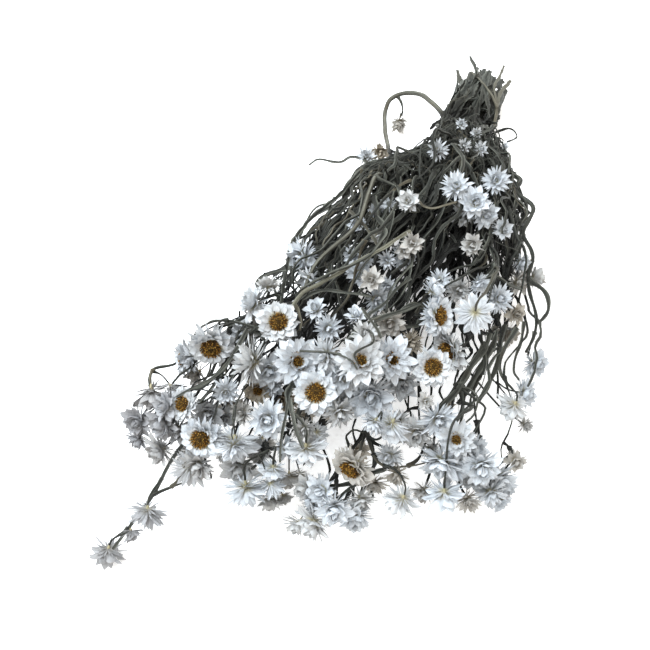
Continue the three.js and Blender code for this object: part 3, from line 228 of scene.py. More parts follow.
# Strips that can be told apart in the picture. For each: its spray, its tone, its half width at
# either end, and picture places with a height.
STRIPS = (
    ("big_loop", 0.5, (0.9, 0.7), (
        (300, 351, 93), (316, 352, 95), (336, 353, 96), (350, 360, 98), (357, 369, 98),
    )),
    ("crown", 0.6, (0.9, 0.7), ((362, 308, 100), (368, 317, 101), (376, 326, 102), (381, 338, 102))),
    ("crown", 0.4, (0.8, 0.6), (
        (361, 329, 100), (370, 331, 101), (375, 338, 102), (370, 346, 103), (359, 348, 104),
        (354, 355, 104), (358, 364, 103),
    )),
    ("centre", 0.6, (1.5, 1.2), ((290, 398, 84), (292, 412, 82), (296, 430, 80), (303, 448, 76))),
    ("centre", 0.7, (1.0, 0.8), ((288, 402, 82), (285, 420, 78), (281, 442, 72), (280, 462, 66))),
    ("upper_left", 0.7, (1.2, 0.8), (
        (247, 329, 86), (237, 348, 80), (227, 365, 76), (214, 377, 72), (196, 386, 66), (176, 397, 60),
    )),
    ("tangle_left", 0.1, (5.0, 4.0), (
        (354, 192, 50), (337, 206, 52), (323, 222, 52), (314, 240, 50), (308, 258, 46),
    )),
    ("tangle_left", 0.1, (5.5, 4.5), (
        (342, 216, 44), (330, 236, 44), (320, 256, 42), (310, 276, 40), (302, 292, 38),
    )),
    ("tangle_left", 0.3, (4.2, 4.0), (
        (376, 199, 54), (360, 205, 54), (347, 214, 52), (338, 227, 50), (332, 242, 48),
    )),
    ("upper_left", 0.3, (3.6, 3.4), ((334, 220, 50), (325, 229, 48), (317, 239, 46), (309, 252, 44))),
    ("tangle_left", 0.3, (4.4, 4.0), (
        (350, 238, 46), (340, 249, 46), (331, 259, 44), (322, 270, 42), (310, 288, 40),
    )),
    ("upper_left", 0.3, (3.4, 3.0), ((306, 250, 44), (298, 262, 42), (292, 274, 40), (284, 286, 38))),
    ("big_loop", 0.1, (6.0, 5.0), ((345, 280, 42), (328, 298, 40), (313, 316, 38), (300, 336, 34))),
    ("crown", 0.1, (5.0, 5.0), ((364, 262, 44), (350, 278, 42), (338, 294, 40), (328, 310, 36))),
    ("crown", 0.1, (6.0, 5.0), ((356, 296, 42), (344, 314, 40), (333, 332, 36), (324, 350, 32))),
    ("crown", 1.32, (1.4, 0.95), (
        (410, 231, 100), (384, 247, 101), (356, 263, 98), (328, 279, 93), (301, 295, 89), (292, 308, 87),
        (290, 320, 85), (294, 327, 84),
    )),
    ("crown", 0.05, (2.4, 4.8), (
        (470, 56, 40), (474, 66, 41), (480, 77, 42), (486, 92, 43), (489, 118, 44),
    )),
    ("right_crown", 1.24, (1.1, 2.0), ((472, 72, 42), (482, 83, 44), (492, 95, 44), (497, 108, 42))),
    ("back_right", 1.24, (1.3, 2.0), (
        (504, 66, 34), (500, 76, 36), (494, 88, 38), (497, 104, 36), (494, 126, 35),
    )),
    ("back_right", 1.24, (1.8, 2.0), ((510, 81, 31), (504, 88, 33), (499, 97, 34), (496, 112, 34))),
    ("left", 0.9, (2.8, 3.4), ((457, 70, 30), (460, 80, 30), (462, 92, 30), (460, 106, 30))),
    ("upper_left", 0.62, (1.9, 1.6), (
        (398, 159, 70), (378, 161, 74), (362, 167, 77), (351, 180, 79), (344, 195, 78), (341, 209, 76),
        (336, 226, 72),
    )),
    ("upper_left", 0.7, (1.9, 1.5), (
        (392, 176, 80), (372, 187, 80), (354, 200, 78), (338, 209, 76), (322, 219, 72), (308, 233, 68),
        (300, 248, 64),
    )),
    ("upper_left", 0.66, (1.6, 1.3), (
        (348, 199, 76), (332, 206, 73), (318, 214, 70), (308, 221, 67), (300, 234, 64), (292, 247, 60),
        (290, 262, 58), (293, 277, 56),
    )),
    ("upper_left", 0.74, (1.0, 0.9), (
        (334, 208, 74), (324, 204, 74), (315, 208, 71), (309, 217, 68), (304, 228, 66),
    )),
    ("left", 0.64, (1.3, 1.0), (
        (293, 268, 52), (281, 271, 52), (268, 273, 52), (258, 280, 52), (255, 290, 50), (253, 302, 48),
    )),
    ("left", 0.7, (1.1, 0.9), ((278, 270, 53), (273, 280, 51), (275, 291, 50), (279, 300, 48))),
    ("left", 0.58, (1.0, 0.9), ((282, 281, 51), (272, 286, 52), (265, 293, 51), (261, 304, 48))),
    ("left", 0.58, (0.9, 0.8), ((284, 272, 52), (280, 284, 50), (282, 294, 49), (277, 303, 47))),
    ("left", 0.6, (1.5, 1.2), ((258, 316, 60), (244, 321, 60), (228, 327, 60))),
    ("left", 0.6, (1.8, 1.3), (
        (252, 322, 58), (240, 342, 58), (228, 362, 56), (212, 388, 52), (200, 402, 50),
    )),
    ("left", 0.75, (1.7, 1.3), ((258, 330, 62), (246, 348, 60), (236, 368, 58), (226, 392, 54))),
    ("left", 0.5, (1.7, 1.3), ((244, 318, 56), (232, 340, 54), (222, 352, 54), (210, 376, 50))),
    ("centre", 0.4, (2.2, 1.6), ((292, 384, 66), (288, 396, 62), (291, 410, 60), (297, 424, 58))),
    ("tangle_left", 0.9, (1.1, 1.0), ((350, 211, 94), (361, 222, 97), (370, 233, 99), (378, 246, 100))),
    ("crown", 1.1, (1.1, 1.0), ((418, 201, 100), (429, 208, 103), (443, 206, 104), (456, 202, 103))),
    ("crown", 0.95, (1.2, 1.0), ((411, 180, 96), (402, 184, 98), (392, 192, 97), (386, 200, 96))),
    ("crown", 0.6, (1.1, 1.0), ((398, 328, 86), (400, 314, 90), (411, 303, 92), (424, 308, 90))),
    ("crown", 0.6, (1.5, 1.3), (
        (345, 344, 92), (358, 331, 94), (372, 321, 95), (394, 314, 95), (410, 308, 94), (420, 304, 92),
    )),
    ("crown", 0.55, (1.2, 1.0), ((311, 352, 84), (332, 354, 88), (350, 360, 92), (356, 368, 92))),
    ("tangle_left", 0.7, (1.2, 1.0), (
        (302, 299, 86), (318, 291, 88), (336, 291, 90), (354, 293, 92), (372, 297, 92),
    )),
    ("right_crown", 0.8, (1.6, 1.4), ((492, 222, 82), (490, 236, 82), (483, 250, 82), (474, 264, 82))),
    ("right_crown", 0.6, (0.8, 0.8), (
        (492, 240, 76), (490, 250, 76), (495, 258, 75), (495, 268, 74), (487, 276, 74),
    )),
    ("right_crown", 0.6, (1.5, 1.3), ((484, 276, 76), (497, 276, 74), (508, 284, 70), (520, 289, 64))),
    ("lower_right", 0.5, (1.9, 1.6), (
        (485, 343, 60), (475, 361, 62), (463, 381, 64), (449, 399, 62), (437, 412, 58),
    )),
    ("lower_right", 0.55, (1.6, 1.3), (
        (490, 334, 58), (484, 352, 60), (468, 371, 62), (457, 390, 60), (441, 404, 58), (433, 418, 54),
    )),
    ("lower_right", 0.4, (1.9, 1.6), ((491, 348, 56), (479, 371, 58), (467, 391, 56), (458, 404, 54))),
    ("lower_right", 0.6, (2.0, 1.8), (
        (497, 330, 56), (492, 350, 54), (480, 372, 54), (472, 392, 52), (470, 412, 50),
    )),
    ("lower_right", 0.75, (1.6, 1.4), (
        (505, 325, 50), (500, 345, 50), (497, 365, 50), (488, 385, 48), (478, 402, 48),
    )),
    ("right_edge", 0.7, (1.2, 1.0), (
        (524, 322, 50), (521, 340, 48), (516, 358, 46), (514, 372, 44), (519, 380, 42),
    )),
    ("right_edge", 0.6, (1.6, 1.3), (
        (517, 328, 54), (508, 342, 52), (501, 356, 50), (500, 370, 49), (508, 386, 44),
    )),
    ("back_right", 0.7, (1.3, 1.2), (
        (510, 194, 66), (520, 202, 66), (527, 212, 64), (520, 226, 62), (515, 240, 60), (517, 256, 60),
        (522, 270, 58),
    )),
    ("lower_front", 0.55, (0.9, 0.9), ((349, 447, 30), (348, 432, 30), (354, 430, 31), (364, 433, 31))),
    ("lower_front", 0.55, (1.3, 1.2), (
        (328, 486, 36), (343, 485, 38), (356, 482, 40), (372, 473, 44), (386, 469, 46),
    )),
    ("lower_front", 0.6, (1.2, 1.1), ((338, 499, 36), (352, 486, 40), (366, 477, 43), (384, 470, 45))),
    ("lower_front", 0.6, (1.2, 1.1), ((328, 484, 36), (336, 496, 36), (346, 508, 34))),
    ("lower_front", 0.8, (0.7, 0.7), (
        (366, 487, 38), (361, 495, 36), (367, 501, 34), (373, 497, 34), (371, 491, 35),
    )),
)
# Strips narrower than this are round.
ROUND_STRIP = 2.0
STRIP_SEED = 7

# Broad withered strips that lie round the neck: how many a spray, where they start and their length.
WRAPS = 3
WRAP_START, WRAP_RANGE = 14.0, 56.0
WRAP_LENGTH = 46.0
WRAP_WIDTHS = (4.4, 3.4)
WRAP_KNOTS = 5
WRAP_SLANT = 18.0
WRAP_SHIFT = 3.0

# Small head beside a larger one.
TWIN_SHARE = 0.5
TWIN_LEAST = 13.0
TWIN_BACK = 15.0
TWIN_END = -55.0
TWIN_WIDTH, TWIN_WIDTH_RANGE = 0.55, 0.27
TWIN_LEAN, TWIN_LEAN_RANGE, TWIN_LOOSE = 0.35, 0.5, 0.7
TWIN_OPEN, TWIN_OPEN_RANGE = 0.35, 0.5
TWIN_APART, TWIN_OWN_APART = 0.42, 0.3
TWIN_ALONG, TWIN_ALONG_RANGE = -0.05, 0.2
TWIN_LOWEST = 0.45
# Twig of a twin or small head: how far it bends back in its middle, and its straight end.
TWIG_BEND, TWIG_END, TWIG_ASIDE = 2.0, 3.0, 1.5

# Bracts of a head: layers from the outside in. For each, how many, then its lean from the head's
# axis and its length as a share of the head's width, both for a closed and for an open head.
LAYER_COUNTS = {"broad": (20, 17, 10, 8, 6), "narrow": (20, 19, 14, 10, 6), "disc": (18, 15, 14, 12, 10)}
LAYER_WIDTHS = {
    "broad": (0.024, 0.038, 0.14, 0.14, 0.12), "narrow": (0.022, 0.034, 0.066, 0.09, 0.1),
    "disc": (0.026, 0.046, 0.118, 0.104, 0.07),
}
LAYER_LEANS = ((74, 108), (56, 99), (38, 82), (10, 50), (-24, 16))
DISC_LEANS = (112, 99, 86, 70, 54)
LAYER_LENGTHS = ((0.43, 0.27), (0.52, 0.33), (0.55, 0.32), (0.46, 0.28), (0.38, 0.21))
LAYER_RISES = (-0.07, -0.03, 0.0, 0.03, 0.05)
LAYER_CURLS = ((8, 8), (18, 12), (10, 10), (-28, 10), (-46, 12))
NARROW_SHARE = 0.34
BARE_FROM = 0.9
BEND_LEAN, BEND_SHORT = 30, 0.22
# Heads narrower than these widths have that share of the bracts, each a little broader.
FEWER_BRACTS = ((9, 0.55), (13, 0.75))
FEWER_BROADER = 1.15
ROOT_RADIUS = (0.045, 0.165)
HEAD_SCALE = 1.08
# Grids of the outer rays, the broad bracts and the inner ones: their layers, the rings along them with
# their widths, and the points across them with the face that each is on.
BRACT_GRIDS = (
    ((0, 1), (0.08, 0.5, 0.88), (0.6, 1.0, 0.5), (1, 0, -1, 0), (0, 1, 0, -1)),
    ((2, 3), (0.05, 0.28, 0.54, 0.8, 0.95), (0.5, 0.92, 1.0, 0.66, 0.17),
     (1, 0.5, 0, -0.5, -1, -0.4, 0.4), (0, 1, 1, 1, 0, -1, -1)),
    ((4,), (0.05, 0.4, 0.72, 0.92), (0.5, 1.0, 0.85, 0.35), (1, 0.4, -0.4, -1, 0), (0, 1, 1, 0, -1)),
)
BRACT_THICK = 0.12
BRACT_CUP, BRACT_CUP_LEAST, BRACT_CUP_RANGE = 0.38, 0.3, 0.9
BRACT_LENGTH, BRACT_LENGTH_RANGE = 0.86, 0.26
BRACT_WIDTH, BRACT_WIDTH_RANGE = 0.82, 0.36
BRACT_RIPPLE, BRACT_RIPPLE_TURNS = 0.22, 9
# How loosely bracts lie in the inner layers and in the outer ones: the spread of their lean and of their
# curl in degrees and of their roll, and for all of them the spread round the axis and the turn of a layer.
INNER_LAYER = 3
LEAN_LOOSE, CURL_LOOSE, ROLL_LOOSE = (14, 30), (24, 48), (0.5, 0.9)
ROUND_LOOSE, LAYER_TURN = 0.35, 0.4
# Lean of all the bracts of a head to one side, in degrees.
SIDE_LEAN = 13
# Share of the root radius at which the outermost layer stands, and the step from layer to layer.
ROOT_SHARE, ROOT_SHARE_STEP = 0.82, 0.06

# Base of a head, under its bracts: the rise and the share of the radius of each of its rings, how pale
# they are, its lowest point, and its top under a disc and under closed bracts.
BASE_SIDES = 9
BASE_PROFILE = ((-0.17, 0.3), (-0.12, 0.66), (-0.05, 0.95), (0.02, 1.0), (0.06, 0.75))
BASE_PALENESS = (0.0, 0.0, 0.05, 0.3, 0.5)
BASE_LOWEST = -0.19
BASE_TOPS = (0.08, 0.3)

# Disc of an open head.
FLORETS = 98
FLORET_SIDES = 4
FLORET_TALL, FLORET_TALL_RANGE, FLORET_THICK = 0.075, 0.04, 0.0125
FLORET_LEAN, FLORET_LOOSE = 0.75, 0.35
FLORET_APART, FLORET_SINK = 0.05, 0.05
# Rise of each ring of a floret and its share of the width, and the bottom of its hollow mouth.
FLORET_PROFILE = ((0.1, 0.8), (0.72, 0.75), (1.0, 1.15))
FLORET_MOUTH = 0.86
DISC_RADIUS = 0.165
DISC_RISE, DISC_DOME = 0.07, 0.07
# Bed of the florets: the rise and the share of the radius of each of its rings, and its ends.
BED_SIDES = 12
BED_PROFILE = (
    (-0.02, 1.03), (DISC_RISE - 0.02, 1.0), (DISC_RISE + 0.01, 0.8), (DISC_RISE + 0.04, 0.45),
)
BED_ENDS = (-0.03, DISC_RISE + 0.05)
GOLDEN_TURN = np.pi * (3 - np.sqrt(5))

# Stalk of a head on a strand that stands clear, and the most that a head moves to its sight line.
SHORT_STALK, LEAST_STALK = 9.0, 3.0
HEAD_SHIFT_MOST = 14.0

# Age of a head, with painted shade: how much the shade grows from this share of the heap's height down,
# its most there, and the range of the age drawn at random. Painted grey shade of a head: places across
# the picture with their shares, and how much a disc takes away.
DEPTH_SHADE_SHARE, DEPTH_SHADE_RISE, DEPTH_SHADE_MOST, AGE_RANGE = 0.92, 1.3, 0.5, 0.4
LEFT_SHADE_PLACES = ((150, 250), (0.85, 0.05))
LEFT_SHADE_LEAST, LEFT_SHADE_RANGE, LEFT_SHADE_DISC = 0.7, 0.4, 0.7

# Angles in degrees past which an edge of the stems and of the heads is sharp.
STEM_SHARP, HEAD_SHARP = 50, 60

# Light: how much the floor glows, the strength of the room, and the lamp.
FLOOR_GLOW = 0.4
ROOM_LIGHT, ROOM_COLOUR = 1.1, (1.0, 0.96, 0.9, 1.0)
LAMP_SIZE, LAMP_POWER = 1.3, 34
LAMP_PLACE, LAMP_COLOUR = (-0.5, -0.3, 1.25), (0.84, 0.93, 1.0)
FLOOR_SIZE = 6

# Sprays. slot: X and Z in the neck and Y of the cut end. main and branches: picture place, share of
# the heap's height and lift over it. heads: picture place, share of the heap's height, width,
# direction of its face (right, down, towards the eye) and openness. rest: where along Y the stem lies
# on the floor. trim: how much of the cut end is missing. smooth: no wings. edge: nothing swings away
# from the bunch. bare: share of the stem with no shoots. reach and litter: shares of the stem within
# which tendrils and low wings start. sparse: stalks are shorter by this share, and low wings and twin
# heads are left out.
SPRAYS = [{
    "name": "lower_left", "smooth": True, "slot": (-9, 6, 246), "rest": (-222, -195), "sparse": 0.12,
    "bare": 0.3,
    "main": [
        (428, 165, 0.4), (385, 225, 0.32), (330, 285, 0.3), (270, 350, 0.3), (222, 402, 0.36),
        (190, 438, 0.7), (170, 460, 0.9), (154, 494, 1), (137, 520, 1), (112, 550, 1),
    ],
    "branches": [[(153, 496, 1), (168, 489, 1), (186, 480, 1)]],
    "heads": [
        (107, 561, 1, 18, -0.2, 0.85, -0.4, 0.9), (130, 537, 1.2, 7, 0.4, 0.6, 0.5, 0.2),
        (147, 516, 1.3, 19, 0.1, 0.6, -0.6, 0.9), (190, 467, 1, 18, 0.1, 0.75, -0.5, 0.9),
        (188, 452, 0.6, 15, 0, 0.7, 0.5, 0.6), (162, 452, 0.8, 18, -0.9, 0.25, 0.2, 0.6),
    ],
}, {
    "name": "left", "litter": 0.85, "reach": 0.6, "slot": (-14, 15, 236),
    "main": [
        (425, 160, 0.7), (392, 190, 0.72), (345, 232, 0.7), (302, 276, 0.66), (268, 315, 0.7),
        (240, 345, 0.85), (222, 365, 0.9), (203, 386, 0.85), (183, 408, 0.75), (172, 424, 0.65),
    ],
    "branches": [
        [(462, 92, 0, 22), (459, 80, 0, 24), (459, 71, 0, 25)],
        [(230, 376, 0.9), (205, 386, 0.95), (185, 393, 0.95), (170, 399, 1), (156, 409, 1)],
    ],
    "heads": [
        (150, 440, 0.6, 16, -0.6, 0.5, 0.4, 0.6), (208, 412, 0.75, 16, 0.1, 0.3, 0.8, 0.6),
        (137, 419, 1, 17, -0.8, 0.4, 0.4, 0.8), (166, 421, 1, 18, -0.6, 0.4, 0.6, 0.8),
        (184, 404, 1.15, 18, -0.4, -0.1, 0.9, 1), (202, 438, 1.1, 22, 0, 0.1, 1, 1),
        (219, 441, 0.75, 10, 0.2, 0.3, 0.9, 0.15),
    ],
}, {
    "name": "upper_left", "litter": 0.85, "reach": 0.6, "slot": (-9, 24, 232), "edge": True,
    "main": [
        (426, 150, 1), (407, 157, 1), (372, 161, 1), (353, 180, 1), (341, 200, 1), (312, 218, 1),
        (299, 233, 1), (291, 256, 1), (286, 282, 1), (262, 316, 1), (236, 325, 1), (208, 334, 0.9),
        (190, 345, 0.85),
    ],
    "branches": [
        [(190, 345, 0.85), (174, 354, 0.9), (166, 366, 1), (155, 368, 1), (150, 377, 1.1), (152, 388, 1.1)],
        [(257, 322, 1), (245, 340, 0.95), (234, 362, 0.9), (229, 378, 0.85)],
        [(291, 272, 1), (272, 274, 1), (260, 281, 1), (258, 292, 1)],
        [(372, 161, 1), (354, 158, 0, 68), (336, 162, 0, 64), (319, 160, 0, 60), (309, 165, 0, 56)],
    ],
    "heads": [
        (228, 354, 0.65, 15, -0.2, 0.3, 0.8, 0.6), (186, 358, 0.9, 18, -0.8, 0.1, 0.5, 0.8),
        (212, 343, 1.05, 21, -0.1, 0.4, 0.9, 1), (245, 333, 0.8, 16, -0.4, 0.2, 0.8, 0.7),
        (154, 397, 1.1, 18, 0.1, 0.85, 0.3, 0.75), (226, 388, 0.95, 17, 0, 0.3, 0.9, 0.9),
        (243, 413, 0.8, 15, -0.3, -0.1, 0.9, 0.7), (255, 304, 1, 17, -0.7, -0.4, 0.5, 0.9),
    ],
}, {
    "name": "big_loop", "smooth": True, "slot": (-4, 33, 226), "bare": 0.5,
    "main": [
        (443, 112, 0, 33), (428, 101, 0, 30), (410, 94, 0, 27), (397, 97, 0, 25), (388, 108, 0, 24),
        (386, 124, 0, 25), (386, 142, 0, 28), (389, 160, 0.85, 6), (378, 190, 1), (352, 228, 1),
        (322, 262, 1), (297, 295, 0.9), (288, 318, 0.7), (276, 345, 0.7),
    ],
    "branches": [
        [(399, 97, 0, 25), (402, 106, 0, 27), (401, 116, 0, 26), (396, 123, 0, 25)],
        [(312, 288, 1), (297, 303, 1), (293, 318, 1.05), (300, 330, 1.05)],
    ],
    "heads": [
        (403, 124, 0.4, 7, 0.8, 0.5, 0.2, 0.1), (278, 322, 1.1, 22, 0.15, 0, 1, 1),
        (252, 361, 1, 20, -0.6, -0.2, 0.2, 0.9), (268, 369, 0.9, 17, 0.1, 0.3, 0.8, 0.6),
        (295, 362, 1.05, 22, 0.2, 0, 1, 0.95), (316, 310, 0.95, 15, -0.3, -0.5, 0.8, 0.8),
        (328, 328, 1, 17, 0.1, 0.2, 0.95, 0.8),
    ],
}, {
    "name": "centre_left", "litter": 0.85, "reach": 0.5, "slot": (-3.5, 15, 252),
    "main": [
        (432, 180, 0.55), (390, 240, 0.5), (342, 300, 0.48), (304, 350, 0.52), (272, 392, 0.62),
        (263, 425, 0.72), (262, 448, 0.8),
    ],
    "branches": [[(275, 440, 0.8), (264, 456, 0.85), (251, 476, 0.9)]],
    "heads": [
        (218, 470, 0.6, 16, -0.3, 0.7, 0.4, 0.7), (258, 391, 0.75, 16, 0, 0.5, 0.8, 0.7),
        (268, 418, 1, 20, 0, 0.1, 1, 0.55), (235, 441, 1, 22, 0, 0.7, -0.2, 0.95),
        (240, 464, 0.65, 17, -0.4, 0.6, 0.5, 0.3), (248, 487, 1, 22, -0.1, 0.75, -0.4, 1),
        (273, 474, 1, 19, -0.1, 0.8, -0.4, 0.8), (270, 498, 0.5, 16, 0, 0.8, 0.3, 0.6),
    ],
}, {
    "name": "centre", "litter": 0.85, "trim": 8, "slot": (7, 33, 244),
    "main": [
        (446, 180, 0.8), (408, 240, 0.76), (358, 300, 0.72), (318, 345, 0.75), (300, 382, 0.85),
        (292, 410, 0.85), (289, 432, 0.8),
    ],
    "branches": [
        [(298, 385, 0.95), (300, 402, 1), (294, 422, 1), (298, 437, 1), (304, 450, 1)],
        [(290, 425, 0.8), (283, 445, 0.85), (281, 463, 0.85)],
    ],
    "heads": [
        (330, 428, 0.6, 15, 0.2, 0.5, 0.6, 0.7), (305, 458, 1.1, 22, 0, 0.6, -0.6, 1),
        (284, 447, 0.9, 11, 0.9, 0, 0.3, 0.9), (316, 392, 1.1, 22, -0.05, 0, 1, 1),
        (342, 403, 0.8, 18, 0, 0.6, 0.7, 0.8), (304, 428, 1.1, 8, 0.3, 0.4, 0.8, 0.5),
        (290, 482, 0.6, 15, 0, 0.8, 0.3, 0.6), (309, 488, 0.7, 17, -0.7, 0.2, 0.4, 0.8),
    ],
}, {
    "name": "tangle_left", "litter": 0.85, "slot": (2, 24, 250),
    "main": [
        (434, 152, 0.9), (408, 176, 0.9), (370, 200, 1), (342, 228, 0.95), (330, 256, 0.9),
        (334, 284, 0.85), (343, 302, 0.8), (352, 318, 0.8),
    ],
    "branches": [
        [(400, 214, 1.02), (380, 250, 1.05), (345, 270, 1.05), (320, 283, 1.05), (302, 298, 1)],
        [(372, 186, 0.95), (340, 208, 0.8), (318, 222, 0.8), (306, 240, 0.9)],
    ],
    "heads": [
        (303, 258, 0.95, 14, -0.7, 0.1, 0.5, 0.7), (352, 255, 0.9, 11, -0.2, 0.3, 0.8, 0.5),
        (358, 226, 0.95, 11, -0.1, -0.2, 0.9, 0.6), (358, 273, 0.95, 13, 0.2, 0.2, 0.9, 0.6),
        (377, 213, 0.95, 11, 0.1, -0.3, 0.9, 0.6), (375, 299, 0.95, 14, 0.3, 0.2, 0.5, 0.6),
        (356, 317, 1, 16, 0, -0.6, 0.7, 0.6), (366, 340, 0.85, 15, 0.3, 0.2, 0.9, 0.7),
    ],
}, {
    "name": "crown", "litter": 0.85, "trim": 13, "slot": (2, 41, 238),
    "main": [
        (452, 168, 1), (430, 215, 1), (410, 262, 0.98), (384, 312, 0.98), (360, 326, 1), (348, 341, 0.95),
        (350, 362, 0.85), (366, 376, 0.8),
    ],
    "branches": [
        [(380, 317, 0.95), (376, 334, 1), (370, 348, 1), (356, 358, 0.95)],
        [(415, 250, 0.9), (398, 268, 1), (388, 280, 1)],
    ],
    "heads": [
        (336, 348, 0.8, 15, -0.2, 0.2, 0.9, 0.7), (345, 375, 1, 21, -0.1, 0.3, 0.9, 0.85),
        (361, 361, 1.15, 21, 0.1, -0.1, 1, 1), (370, 394, 0.95, 21, 0, 0.3, 0.9, 0.55),
        (391, 360, 1.05, 21, 0.1, 0.1, 1, 1), (399, 381, 0.9, 17, 0.3, 0.4, 0.8, 0.7),
        (387, 260, 0.95, 13, -0.2, 0.1, 0.9, 0.6), (386, 286, 0.95, 12, 0.1, 0.4, 0.8, 0.5),
        (372, 279, 1, 14, -0.2, 0.2, 0.9, 0.7), (390, 322, 1, 16, 0, 0.3, 0.8, 0.6),
    ],
}, {
    "name": "centre_right", "slot": (13, 24, 240),
    "main": [
        (468, 190, 0.8), (450, 240, 0.8), (432, 290, 0.8), (418, 325, 0.85), (414, 360, 0.75),
        (418, 390, 0.75), (416, 412, 0.75),
    ],
    "branches": [[(430, 328, 0.9), (412, 323, 1), (400, 322, 1), (397, 334, 0.95)]],
    "heads": [
        (452, 401, 0.65, 16, 0.2, 0.4, 0.8, 0.7), (410, 341, 1, 16, 0.2, 0.5, 0.7, 0.4),
        (432, 367, 1.05, 20, 0.1, 0, 1, 1), (425, 401, 0.95, 16, 0, 0.2, 0.9, 0.8),
        (417, 431, 0.85, 15, -0.2, 0.4, 0.8, 0.7), (437, 418, 0.95, 17, 0.1, 0.3, 0.9, 0.8),
        (405, 435, 0.75, 9, -0.3, 0.5, 0.7, 0.4),
    ],
}, {
    "name": "right_crown", "trim": 7, "slot": (13, 41, 228),
    "main": [
        (484, 170, 0.95), (488, 215, 0.95), (484, 255, 0.98), (474, 282, 1), (462, 306, 0.9),
        (454, 332, 0.8),
    ],
    "branches": [[(482, 262, 1), (492, 276, 1.05), (484, 290, 1.05)]],
    "heads": [
        (436, 318, 1.05, 21, -0.5, 0, 0.85, 1), (457, 350, 1, 21, -0.7, 0.2, 0.65, 1),
        (476, 312, 1.12, 22, 0.1, 0.3, -0.8, 1), (458, 289, 0.95, 15, 0, 0.3, 0.8, 0.7),
        (478, 282, 1.05, 11, 0.2, 0.4, 0.7, 0.4), (440, 280, 0.95, 14, -0.2, 0.3, 0.9, 0.6),
        (472, 245, 1, 11, -0.1, 0.2, 0.9, 0.6), (497, 299, 1, 15, 0.3, 0, 0.9, 0.8),
    ],
}, {
    "name": "right_edge", "smooth": True, "trim": 6, "slot": (28, 15, 247), "edge": True,
    "main": [
        (500, 150, 0.8), (511, 176, 0.9), (517, 195, 1), (534, 207, 1), (527, 224, 1), (521, 240, 1),
        (533, 257, 1), (529, 272, 1), (529, 292, 1), (535, 316, 1), (534, 336, 1), (526, 352, 1),
    ],
    "branches": [
        [(533, 283, 1), (544, 291, 1), (549, 304, 1), (544, 316, 1), (536, 324, 1)],
        [(497, 128, 0.9), (510, 129, 0.9), (517, 136, 0.9), (506, 143, 0.9)],
    ],
    "heads": [
        (534, 363, 1, 16, 0.5, 0.3, 0.8, 0.9), (541, 276, 1, 11, 0.8, -0.4, 0.3, 0.5),
        (514, 313, 0.8, 16, 0.3, 0.2, 0.8, 0.6), (504, 147, 0.9, 7, 0.3, -0.2, 0.8, 0.5),
    ],
}, {
    "name": "right_fan", "trim": 8, "slot": (24, 6, 258), "rest": (-140, -112),
    "main": [
        (503, 200, 0.55), (512, 250, 0.6), (520, 296, 0.7), (520, 325, 0.8), (508, 350, 0.9),
        (501, 370, 0.95), (507, 386, 0.95), (516, 404, 0.9), (517, 422, 0.6), (508, 433, 0.35),
        (503, 446, 0.15), (502, 458, 0.05),
    ],
    "branches": [[(505, 444, 0.9), (512, 450, 1), (516, 458, 1)]],
    "heads": [
        (524, 424, 0.8, 14, 0.5, 0.3, 0.5, 0.7), (515, 411, 1.1, 19, -0.3, 0.6, -0.3, 0.9),
        (523, 393, 1, 17, 0.5, 0.1, 0.5, 0.7), (512, 468, 1, 16, 0.3, 0.4, 0.8, 0.7),
        (497, 476, 0.95, 17, 0.1, 0.5, 0.7, 0.8), (506, 503, 1, 15, 0.4, 0.6, 0.4, 0.8),
    ],
}, {
    "name": "lower_centre", "slot": (7.5, 15, 258),
    "main": [
        (452, 190, 0.42), (428, 245, 0.42), (402, 305, 0.42), (384, 355, 0.48), (376, 398, 0.65),
        (369, 424, 0.8), (359, 442, 0.85),
    ],
    "branches": [[(376, 405, 0.7), (392, 418, 0.9), (400, 440, 0.85), (400, 462, 0.85)]],
    "heads": [
        (374, 482, 0.6, 16, 0, 0.6, 0.6, 0.7), (418, 456, 0.8, 15, 0.1, 0.5, 0.7, 0.7),
        (385, 431, 1.1, 21, -0.5, 0.6, -0.3, 0.95), (386, 457, 0.85, 17, -0.4, 0.3, 0.8, 0.8),
        (355, 466, 1.05, 22, -0.3, 0.6, 0.6, 1), (397, 473, 0.9, 15, -0.2, 0.6, 0.6, 0.6),
        (402, 500, 1.1, 19, -0.3, 0.7, -0.4, 0.95), (362, 497, 0.9, 17, 0, 0.6, 0.5, 0.7),
    ],
}, {
    "name": "lower_front", "slot": (2, 6, 256), "rest": (130, 270),
    "main": [
        (448, 222, 0.26), (420, 285, 0.24), (390, 345, 0.24), (362, 400, 0.3), (345, 442, 0.5),
        (336, 476, 0.85), (333, 494, 0.9),
    ],
    "branches": [[(340, 460, 0.7), (352, 482, 0.8), (356, 503, 0.9)]],
    "heads": [
        (303, 508, 0.8, 14, -0.3, 0.6, 0.5, 0.7), (317, 523, 1, 19, -0.4, 0.6, 0.4, 0.85),
        (334, 507, 1.1, 16, 0, 0.5, 0.8, 0.7), (357, 519, 1, 16, 0, 0.7, 0.5, 0.7),
        (323, 489, 0.9, 15, -0.4, 0.2, 0.8, 0.6), (340, 436, 0.35, 17, 0.1, 0.5, 0.6, 0.8),
    ],
}, {
    "name": "lower_right", "slot": (18.5, 15, 254),
    "main": [
        (478, 200, 0.52), (476, 262, 0.55), (478, 318, 0.62), (479, 350, 0.75), (470, 376, 0.9),
        (455, 392, 0.9), (440, 408, 0.85), (436, 432, 0.75), (440, 446, 0.75),
    ],
    "branches": [[(462, 388, 0.9), (472, 405, 0.9), (458, 421, 0.95), (449, 434, 0.9), (448, 450, 0.85)]],
    "heads": [
        (441, 458, 1.05, 21, -0.1, 0.6, 0.5, 0.85), (443, 495, 1.05, 21, 0, 0.6, -0.4, 0.95),
        (464, 437, 1.1, 20, -0.5, 0.3, 0.7, 1), (468, 493, 0.9, 10, 0.2, 0.5, 0.7, 0.5),
        (423, 484, 0.6, 17, -0.3, 0.6, 0.4, 0.8),
